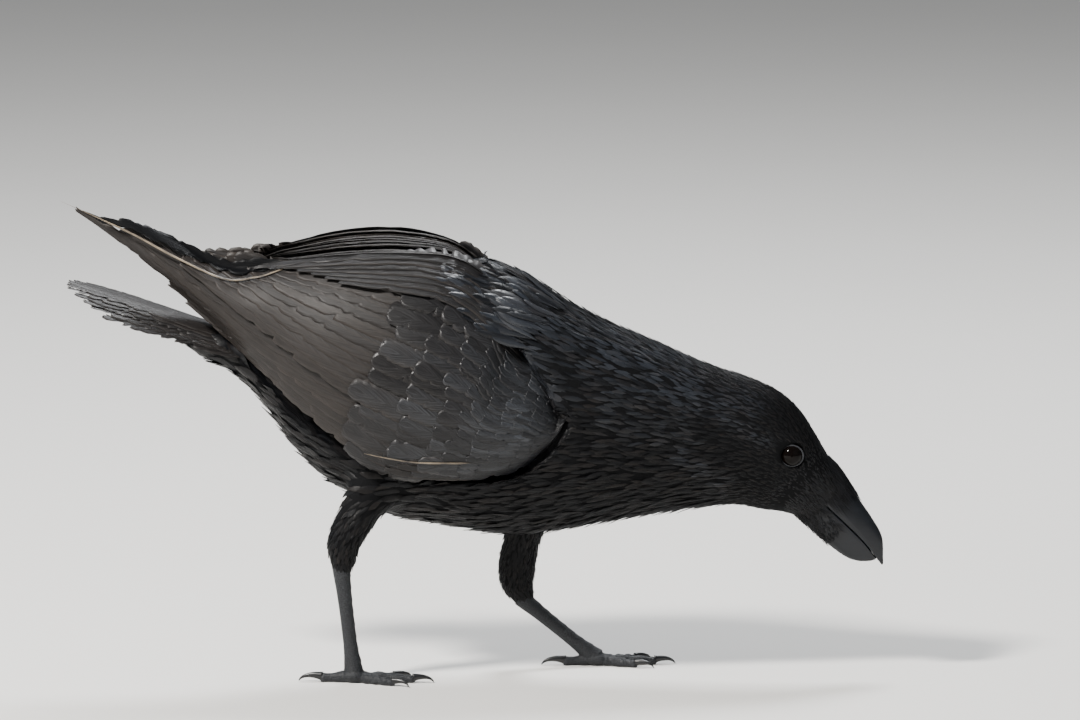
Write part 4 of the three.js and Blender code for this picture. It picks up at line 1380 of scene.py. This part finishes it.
def make_bristles():
    """Stiff bristles over the base of the bill, on its sides and under the chin."""
    hide = Hide.of(bpy.data.objects["skin"])
    chance = np.random.default_rng(61)
    sets = []
    for rows, count, angles, start, length, width in (
            (UPPER_BILL, 1000, (0.1, 1.5), (-4, 14), (12, 25), size("bristle_width")),
            (LOWER_BILL, 1500, (-1.4, -0.1), (-4, 38), (2.5, 6), CHIN_BRISTLE)):
        angle = chance.uniform(*angles, count)
        angle = np.where(chance.random(count) < 0.5, angle, np.sign(angle) * np.pi - angle)
        reach = mixed(*start, chance.random(count) ** 1.6)
        far = chance.uniform(*length, count)
        drift = chance.normal(0, 0.12, count)
        spine, normals = [], []
        for k in range(4):
            along = reach + far * k / 3
            share = (along + BILL["root"]) / (BILL["length"] + BILL["root"])
            crest, rim, half = np.moveaxis(through(rows, share), -1, 0)
            turned = angle + drift * k / 3
            up = np.sin(turned)
            bulge = np.abs(crest - rim) * np.abs(up) ** 0.8
            lift = 0.4 + 0.9 * chance.random(count) * (k / 3) ** 2
            height, across = rim + np.sign(up) * bulge, half * np.cos(turned)
            here = bill_spot(along, across, height)
            outward = unit(bill_spot(0 * along, np.cos(turned) * 1.2, up) - bill_spot(0, 0, 0))
            spine.append(here + outward * lift[:, None])
            normals.append(outward)
        spine, normals = np.stack(spine, 1), np.stack(normals, 1)
        form = vane_form(4, 5)
        look = dict(width=width * chance.uniform(0.8, 1.2, count), thick=0.3, root=0, tip=0.3, curl=0,
                    camber=0.1, widest=0.4, bluntness=0.9)
        points, faces = lay_vanes(form, spine, normals, look, 62)
        sets.append((form, points, faces, hide.nearest(spine[:, 0])[2], count))
    for name, (form, points, faces, roots_uv, count) in zip(("bristles_nose", "bristles_chin"), sets):
        tones = np.stack([chance.random(count), 0.3 * chance.random(count),
                          0.5 * chance.random(count) ** 2], 1)
        coat_piece(name, form, points, faces, roots_uv, tones, [material("plumage")])


PATCH = 0.003  # how wide a feather's patch on the skin's unwrap is


def coat_piece(name, form, points, faces, roots_uv, tones, materials):
    """A piece of the coat, with its map for baking, its vanes' own map and its feathers' tones."""
    each = len(form["along"])
    vane = np.stack([form["across"] * 0.5 + 0.5, form["along"]], 1)
    patch = np.clip(roots_uv, PATCH / 2, 1 - PATCH / 2)[:, None, :] + (vane - 0.5)[None] * PATCH
    piece = new_piece(name, points, faces, materials)
    mesh = piece.data
    rim = np.tile(np.abs(form["up"]) < 1e-3, len(roots_uv))
    edges = np.empty(len(mesh.edges) * 2, np.int32)
    mesh.edges.foreach_get("vertices", edges)
    mesh.edges.foreach_set("use_edge_sharp", rim[edges.reshape(-1, 2)].all(1))
    corner_values(piece, "OFBake", "UV", patch.reshape(-1, 2))
    corner_values(piece, "vane", "UV", np.tile(vane, (len(roots_uv), 1)))
    alpha = np.ones((len(tones), 1))
    corner_values(piece, "tones", "FLOAT_COLOR", np.repeat(np.hstack([tones, alpha]), each, axis=0))
    return piece


# ---------- contour feathers ----------

# Length, width and tip lift of the body's feathers, in millimetres, from the vent to the face: on the
# back, on the flanks and on the belly.
BACK_COAT = [(34, 9, 1.5), (32, 7.5, 1.5), (29, 5.5, 1.5), (27, 4.2, 1.6), (25, 3.6, 1.6), (22, 3.2, 1.5),
             (18, 2.6, 1.3), (13, 1.8, 1), (9, 1.3, 0.7), (6.5, 1.0, 0.45), (4.5, 0.8, 0.3)]
FLANK_COAT = [(34, 9, 2), (32, 9, 2), (28, 6.5, 2), (26, 5, 2), (24, 4.2, 1.8), (22, 3.6, 1.6),
              (19, 3, 1.4), (15, 2.2, 1.1), (9, 1.4, 0.6), (5, 1.0, 0.35), (4, 0.8, 0.25)]
BELLY_COAT = [(38, 12, 2.4), (34, 12, 2.4), (30, 7.5, 2.6), (27, 5.6, 2.6), (24, 4.6, 2.2), (24, 3.8, 2.0),
              (26, 3.0, 2.4), (26, 2.6, 2.4), (14, 1.7, 1.0), (7, 1.1, 0.45), (4.5, 0.8, 0.3)]


def coat_at(share, rise):
    """Length, width and tip lift where the body's share and the sine of the angle round it say."""
    back, flank, belly = (through(rows, share) for rows in (BACK_COAT, FLANK_COAT, BELLY_COAT))
    return mixed(flank, np.where(rise[:, None] > 0, back, belly), np.abs(rise)[:, None] ** 1.3)


# The scapulars' tips end on a line from the back, as x and z, down to the bend of the wing. Their
# roots lie in a band ahead of it, over the body's own coat.
SCAPULAR_LINE = np.array([(-36.0, 292.0), (22.0, 228.0)])
SCAPULAR_BAND = (14, 74)
SCAPULAR_LOOK = (38, 7.5, 0.9)
SCAPULAR_COVERAGE = 13
SCAPULAR_THICKNESS = 0.2
SCAPULAR_FLOW = (-1, 0, 0.36)


def scapular_band(spots):
    """How far each spot is ahead of the scapulars' tips, and which spots are beside that line."""
    start, end = SCAPULAR_LINE
    along = unit(end - start)
    ahead = np.array([-along[1], along[0]])
    rest = spots[:, [0, 2]] - start
    place = rest @ along
    beside = (place > -34) & (place < np.linalg.norm(end - start) + 4) & (np.abs(spots[:, 1]) > 3)
    return rest @ ahead, beside


# How much coat gloss and painted sheen each piece of the coat has; the sheen is a painted highlight.
GLOSS = {"coat_scapulars": 0.2, "coat_back": 0.3, "coat_nape": 0.3, "coat_lores": 0.2}
LEAST_GLOSS = 0.04
# A painted highlight streak adds to the coat gloss and to the painted sheen.
PAINTED_HIGHLIGHT_STRENGTH = 0.6  # how much a streak adds
# Painted highlight streaks on the coat, laid where light falls on the mantle, crown, ear and cheek: x and z
# of both ends, and how broad.
PAINTED_HIGHLIGHT_STREAKS = [((0, 284), (95, 226), 20), ((95, 226), (150, 208), 13), ((160, 200), (196, 190), 9),
           ((178, 186), (204, 167), 5), ((152, 160), (178, 139), 5), ((20, 236), (70, 200), 10)]


def painted_highlight_at(spots):
    """How glossy each spot is, from 0 to 1, under the painted highlight streaks; it raises the coat's gloss
    and its painted sheen.
    """
    gloss = np.zeros(len(spots))
    for start, end, breadth in PAINTED_HIGHLIGHT_STREAKS:
        start, end = np.array(start, float), np.array(end, float)
        rest = spots[:, [0, 2]] - start
        place = np.clip(rest @ (end - start) / ((end - start) ** 2).sum(), 0, 1)[:, None]
        gloss = np.maximum(gloss, np.exp(-((rest - (end - start) * place) ** 2).sum(1) / breadth ** 2))
    return gloss


# Where the pieces of the body's coat meet, as x or z.
BORDERS = {"back": 185, "breast": 60, "nape": 95, "nape_low": 168, "head": 165, "crown": 160,
           "rump": -125}


def body_regions(spots):
    """Names the piece of the body's coat that each spot is part of."""
    names = np.full(len(spots), "coat_belly", object)
    x, z = spots[:, 0], spots[:, 2]
    names[z > BORDERS["back"]] = "coat_back"
    names[x > BORDERS["breast"]] = "coat_breast"
    names[(x > BORDERS["nape"]) & (z > BORDERS["nape_low"])] = "coat_nape"
    names[x > BORDERS["head"]] = "coat_head"
    names[(x > BORDERS["head"]) & (z > BORDERS["crown"])] = "coat_crown"
    names[(x > LORES["x"]) & (bill_reach(spots) > LORES["from"] - 5)] = "coat_lores"
    names[x < BORDERS["rump"]] = "coat_rump"
    names[thigh_share(spots)[0] > 0.3] = "coat_thighs"
    return names


COVERAGE = 4.2  # how many feathers deep the coat lies
# Length, width and tip lift of the small feathers on the thighs, at the heel and at the hip.
THIGH_LOOKS = {"heights": (60, 130), "length": (7.0, 13.0), "width": (1.6, 2.6), "lift": 0.9}
LENGTHS = (0.82, 1.15)  # the feathers' random share of their length
SWING = 0.13  # how far they swing out of the lie
SHARPEST_TURN = 0.3  # a feather whose spine turns harder than this cosine is left out
# Where the face's feathers turn to lie forward over the root of the bill, and their look.
LORES = {"from": -7, "mixed": 13, "x": 208, "look": (8.5, 0.95, 0.45), "ends": 13,
         "closer": 0.85}
WING_OVERLAP = 12  # how far the body's coat carries on under the edges of the wings


def coat_looks(lie, spots):
    """Length, width and tip lift of the feathers at spots, and the way they lie."""
    share, rise, flow = lie.at(spots)
    thigh, way = thigh_share(spots)
    down = smooth_step(spots[:, 2], *THIGH_LOOKS["heights"])
    small = np.stack([mixed(*THIGH_LOOKS["length"], down), mixed(*THIGH_LOOKS["width"], down),
                      np.full(len(spots), THIGH_LOOKS["lift"])], 1)
    look = mixed(coat_at(share, rise), small, thigh[:, None])
    way = unit(mixed(flow, way, thigh[:, None]))
    reach, dip = bill_reach(spots), math.radians(BILL["dip"])
    strewn = (spots @ np.array([37.7, 91.3, 53.1])) % 1 - 0.5
    forward = (reach > LORES["from"] + LORES["mixed"] * strewn) & (spots[:, 0] > LORES["x"])
    way[forward] = (math.cos(dip), 0, -math.sin(dip))
    look[forward] = LORES["look"]
    return look, way


def body_spacing(lie, spots):
    """How far apart the body's feathers are, 0 where there are none."""
    look = coat_looks(lie, spots)[0]
    spacing = np.sqrt(look[:, 0] * look[:, 1] / COVERAGE)
    face = spots[:, 0] > LORES["x"]
    spacing[face] *= LORES["closer"]
    eye = np.hypot(spots[:, 0] - EYE["x"], spots[:, 2] - EYE["z"])
    spacing[(eye < size("eye_clear") - 0.4) & (np.abs(spots[:, 1]) > 14)] = 0
    spacing[(bill_reach(spots) > LORES["ends"]) & (spots[:, 0] > LORES["x"])] = 0
    spacing[under_wing(spots, WING_OVERLAP)] = 0
    return spacing


def scapular_spacing(_, spots):
    """How far apart the scapulars are, 0 outside their band."""
    ahead, beside = scapular_band(spots)
    spacing = math.sqrt(SCAPULAR_LOOK[0] * SCAPULAR_LOOK[1] / SCAPULAR_COVERAGE)
    return np.where(beside & (ahead > SCAPULAR_BAND[0]) & (ahead < SCAPULAR_BAND[1]), spacing, 0)


def make_body_coat():
    """The body's contour feathers and, over them and the wings' fronts, the scapulars."""
    skin, lie = Hide.of(bpy.data.objects["skin"]), Lie()
    bare = flesh("bare", BODY_NODES + ["bill_upper", "bill_lower"])
    body = Hide.of(bare)
    bpy.data.objects.remove(bare)
    chance = np.random.default_rng(12)
    layers = ((body, body_spacing, (4, 6)), (envelope(skin), scapular_spacing, (6, 9)))
    for hide, spacing_at, detail in layers:
        spots = hide.scatter(lambda places: spacing_at(lie, places), 11)
        look, flow = coat_looks(lie, spots)
        if spacing_at is scapular_spacing:
            ahead = smooth_step(scapular_band(spots)[0], 34, SCAPULAR_BAND[1])[:, None]
            look = mixed(np.array(SCAPULAR_LOOK), look, ahead)
            flow = unit(mixed(unit(np.array(SCAPULAR_FLOW, float)), flow, ahead))
        length = look[:, 0] * chance.uniform(*LENGTHS, len(spots))
        spine, normals = follow(hide, spots, flow, length, chance)
        eye = np.hypot(spine[..., 0] - EYE["x"], spine[..., 2] - EYE["z"]).min(1)
        ways = unit(spine[:, 1:] - spine[:, :-1])
        turns = np.einsum("nkc,nkc->nk", ways[:, 1:], ways[:, :-1]).min(1)
        good = ((eye > size("eye_clear")) | (np.abs(spine[:, 0, 1]) < 12)) & (turns > SHARPEST_TURN)
        spots, look, spine, normals = spots[good], look[good], spine[good], normals[good]
        roots_uv = skin.nearest(spots)[2]
        regions = body_regions(spots) if hide is body else np.full(len(spots), "coat_scapulars", object)
        form = vane_form(*detail)
        for name in sorted(set(regions)):
            here = regions == name
            count = here.sum()
            feathers = dict(
                width=look[here, 1] * chance.uniform(0.8, 1.2, count),
                thick=size("feather_thickness") if hide is body else SCAPULAR_THICKNESS,
                root=-0.5, tip=look[here, 2] * chance.uniform(0.5, 1.4, count),
                curl=chance.normal(0, 0.25, count) * look[here, 2], camber=0.25 if hide is body else 0.1,
                widest=0.62, bluntness=0.75)
            points, faces = lay_vanes(form, spine[here], normals[here], feathers, 13)
            # The third tone is coat gloss and painted sheen: each region's share plus the painted highlight
            # streaks.
            glossy = GLOSS.get(name, LEAST_GLOSS) + PAINTED_HIGHLIGHT_STRENGTH * painted_highlight_at(spots[here])
            tones = np.stack([chance.random(count), 0.6 * chance.random(count) ** 3,
                              np.clip(glossy * chance.uniform(0.1, 1.6, count), 0, 1)], 1)
            coat_piece(name, form, points, faces, roots_uv[here], tones, [material("plumage")])


def follow(hide, spots, flow, length, chance):
    """Each feather's spine: four spots that follow a surface from the root, with their normals."""
    root, normal, _ = hide.nearest(spots)
    swing = chance.normal(0, SWING, (len(spots), 1))
    spine, normals = [root], [normal]
    for _ in range(3):
        way = unit(flow - normal * (flow * normal).sum(1, keepdims=True))
        way = unit(way + np.cross(normal, way) * swing)
        stretch = way * length[:, None] / 3
        root, normal, _ = hide.nearest(spine[-1] + stretch)
        reach = np.linalg.norm(root - spine[-1], axis=1, keepdims=True)
        root = np.where(reach < length[:, None] / 6, spine[-1] + stretch, root)
        spine.append(root)
        normals.append(unit(normals[-1] * 0.5 + normal * 0.5))
    return np.stack(spine, 1), np.stack(normals, 1)


# ---------- stage ----------

def make_stage():
    """A pale floor, a key light, a weak fill and a light over the back, and the camera."""
    settle()
    stage = bpy.context.scene.raven_stage
    bpy.ops.mesh.primitive_plane_add(size=FLOOR_SIZE)
    floor = bpy.context.object
    floor.name = "floor"
    floor.data.materials.append(material("floor"))
    aim = Vector((CAMERA["x"] * MM + SHIFT[0], 0, CAMERA["z"] * MM))
    for name, (azimuth, elevation, distance, breadth, power, tint) in LIGHTS.items():
        lamp = bpy.data.lights.new(name, "AREA")
        lamp.size = breadth
        lamp.energy = power * stage.light
        lamp.color = tint
        placed = bpy.data.objects.new(name, lamp)
        bpy.context.collection.objects.link(placed)
        around, up = math.radians(azimuth), math.radians(elevation)
        way = Vector((math.sin(around) * math.cos(up), -math.cos(around) * math.cos(up), math.sin(up)))
        placed.location = aim + way * distance
        placed.rotation_euler = (-way).to_track_quat("-Z", "Y").to_euler()
    world = bpy.context.scene.world or bpy.data.worlds.new("world")
    bpy.context.scene.world = world
    world.use_nodes = True
    sky = world.node_tree.nodes["Background"]
    sky.inputs["Color"].default_value = (0.93, 0.96, 1, 1)
    sky.inputs["Strength"].default_value = stage.sky
    lens = bpy.data.cameras.new("camera")
    camera = bpy.data.objects.new("camera", lens)
    bpy.context.collection.objects.link(camera)
    up = math.radians(CAMERA["elevation"])
    way = Vector((0, -math.cos(up), math.sin(up)))
    camera.location = aim + way * stage.camera_distance
    camera.rotation_euler = (-way).to_track_quat("-Z", "Y").to_euler()
    lens.sensor_width = 36
    lens.lens = lens.sensor_width * stage.camera_distance / CAMERA["view_width"]
    lens.clip_end = 100
    bpy.context.scene.camera = camera


CAMERA = {"x": 42, "z": 222.7, "elevation": 8, "view_width": 0.756}
FLOOR_SIZE = 60
# Direction as azimuth and elevation, distance, breadth, power in watts and tint.
LIGHTS = {
    "key": (-50, 44, 3.0, 0.45, 230, (1, 0.97, 0.92)),
    "fill": (40, 25, 3.5, 2.5, 5, (0.9, 0.95, 1)),
    "top": (168, 58, 3.0, 0.9, 115, (0.96, 0.98, 1)),
}


# ---------- settings ----------

def length_setting(name, description, default):
    return bpy.props.FloatProperty(
        name=name, description=description, default=default, unit="LENGTH", subtype="DISTANCE", precision=4)


def colour_setting(name, description, default):
    return bpy.props.FloatVectorProperty(
        name=name, description=description, default=default, size=3, min=0, max=1, subtype="COLOR")


class RavenColours(bpy.types.PropertyGroup):
    plumage: colour_setting("Plumage", "Black of the body's feathers", (0.0028, 0.003, 0.0037))
    # Painted sheen: a lighter blue that the glossiest body feathers are coloured with, a painted highlight.
    sheen: colour_setting("Painted sheen", "Blue of the glossiest feathers", (0.022, 0.026, 0.034))
    worn: colour_setting("Worn", "Brown of worn edges", (0.036, 0.029, 0.025))
    wing: colour_setting("Wing", "Brown-grey of the flight feathers", (0.0085, 0.0074, 0.0070))
    # Wing painted sheen: a lighter blue-grey coloured onto the glossiest wing feathers, a painted highlight
    # that is brightest on the lesser coverts.
    wing_painted_sheen: colour_setting(
        "Wing painted sheen", "Blue-grey of the glossiest wing feathers", (0.062, 0.069, 0.082))
    shaft: colour_setting("Shafts", "The flight feathers' shafts", (0.02, 0.0165, 0.0145))
    quill: colour_setting("Quills", "Cream of the bare quills at the wing's edges", (0.34, 0.27, 0.19))
    horn: colour_setting("Horn", "Dark of the bill and claws", (0.0035, 0.004, 0.005))
    horn_sheen: colour_setting("Horn sheen", "Rubbed grey of the bill", (0.009, 0.011, 0.015))
    scales: colour_setting("Scales", "Slate of the legs", (0.007, 0.008, 0.0098))
    scale_edges: colour_setting("Scale edges", "Rubbed edges of the scales", (0.045, 0.048, 0.055))
    eye: colour_setting("Eye", "Dark brown of the eyes", (0.0035, 0.0022, 0.0018))
    floor: colour_setting("Floor", "Floor of the stage", (0.72, 0.71, 0.69))


class RavenSizes(bpy.types.PropertyGroup):
    coat_depth: length_setting("Coat depth", "How far the skin lies under the body's coat", 0.0032)
    wing_sink: length_setting("Wing sink", "How far the skin of the wings lies under the coverts", 0.005)
    skin_step: length_setting("Skin step", "How fine the skin's mesh is", 0.002)
    feather_thickness: length_setting("Feather thickness", "Thickness of the body's feathers", 0.00035)
    lid_thickness: length_setting("Lid thickness", "Half the thickness of the ring round the eye", 0.00045)
    bristle_width: length_setting("Bristle width", "Width of the bristles over the bill", 0.00075)
    eye_clear: length_setting(
        "Clear round the eye", "How far feathers keep from the middle of the eye", 0.0083)


class RavenStage(bpy.types.PropertyGroup):
    camera_distance: length_setting("Camera distance", "How far the camera stands from the bird", 6.0)
    light: bpy.props.FloatProperty(name="Light", description="Strength of the lamps", default=1.0, min=0)
    sky: bpy.props.FloatProperty(
        name="Sky", description="Strength of the light all round", default=0.27, min=0)


# ---------- operators and panel ----------

class RAVEN_OT_skin(bpy.types.Operator):
    """Joins and smooths the flesh into one skin, just under the coat"""
    bl_idname = "raven.skin"
    bl_label = "Skin"

    def execute(self, context):
        make_skin()
        return {"FINISHED"}


class RAVEN_OT_body_coat(bpy.types.Operator):
    """Covers the skin with contour feathers that follow the lie of the coat"""
    bl_idname = "raven.body_coat"
    bl_label = "Body feathers"

    def execute(self, context):
        make_body_coat()
        return {"FINISHED"}


class RAVEN_OT_flight(bpy.types.Operator):
    """Fans out the primaries and secondaries of the folded wings"""
    bl_idname = "raven.flight"
    bl_label = "Flight feathers"

    def execute(self, context):
        make_flight_feathers()
        return {"FINISHED"}


class RAVEN_OT_coverts(bpy.types.Operator):
    """Lays the rows of wing coverts and the stacks along the wings' edges"""
    bl_idname = "raven.coverts"
    bl_label = "Wing coverts"

    def execute(self, context):
        make_wing_coverts()
        return {"FINISHED"}


class RAVEN_OT_tail(bpy.types.Operator):
    """Adds the twelve tail feathers"""
    bl_idname = "raven.tail"
    bl_label = "Tail"

    def execute(self, context):
        make_tail()
        return {"FINISHED"}


class RAVEN_OT_bill(bpy.types.Operator):
    """Adds the two halves of the bill"""
    bl_idname = "raven.bill"
    bl_label = "Bill"

    def execute(self, context):
        make_bill()
        return {"FINISHED"}


class RAVEN_OT_eyes(bpy.types.Operator):
    """Adds the eyes and their lids"""
    bl_idname = "raven.eyes"
    bl_label = "Eyes"

    def execute(self, context):
        make_eyes()
        return {"FINISHED"}


class RAVEN_OT_feet(bpy.types.Operator):
    """Adds the scaled legs, the toes and the claws"""
    bl_idname = "raven.feet"
    bl_label = "Feet"

    def execute(self, context):
        make_feet()
        return {"FINISHED"}


class RAVEN_OT_bristles(bpy.types.Operator):
    """Adds the bristles round the base of the bill"""
    bl_idname = "raven.bristles"
    bl_label = "Bristles"

    def execute(self, context):
        make_bristles()
        return {"FINISHED"}


class RAVEN_OT_stage(bpy.types.Operator):
    """Adds the floor, the lights and the camera"""
    bl_idname = "raven.stage"
    bl_label = "Stage"

    def execute(self, context):
        make_stage()
        return {"FINISHED"}


OPERATORS = (RAVEN_OT_stage, RAVEN_OT_skin, RAVEN_OT_body_coat, RAVEN_OT_coverts, RAVEN_OT_flight,
             RAVEN_OT_tail, RAVEN_OT_bill, RAVEN_OT_eyes, RAVEN_OT_feet, RAVEN_OT_bristles)
SETTINGS = {"raven_sizes": RavenSizes, "raven_colours": RavenColours, "raven_stage": RavenStage}


class RAVEN_PT_panel(bpy.types.Panel):
    bl_idname = "RAVEN_PT_panel"
    bl_label = "Raven"
    bl_space_type = "VIEW_3D"
    bl_region_type = "UI"
    bl_category = "Raven"

    def draw(self, context):
        for group in SETTINGS:
            settings = getattr(context.scene, group)
            for name in settings.__annotations__:
                self.layout.prop(settings, name)
        for operator in OPERATORS:
            self.layout.operator(operator.bl_idname)


def register():
    for made in (*SETTINGS.values(), *OPERATORS, RAVEN_PT_panel):
        bpy.utils.register_class(made)
    for group, settings in SETTINGS.items():
        setattr(bpy.types.Scene, group, bpy.props.PointerProperty(type=settings))


def unregister():
    for group in SETTINGS:
        delattr(bpy.types.Scene, group)
    for made in (RAVEN_PT_panel, *reversed(OPERATORS), *reversed(list(SETTINGS.values()))):
        bpy.utils.unregister_class(made)


def main():
    register()
    for operator in OPERATORS:
        group, name = operator.bl_idname.split(".")
        getattr(getattr(bpy.ops, group), name)()


if __name__ == "__main__":
    main()
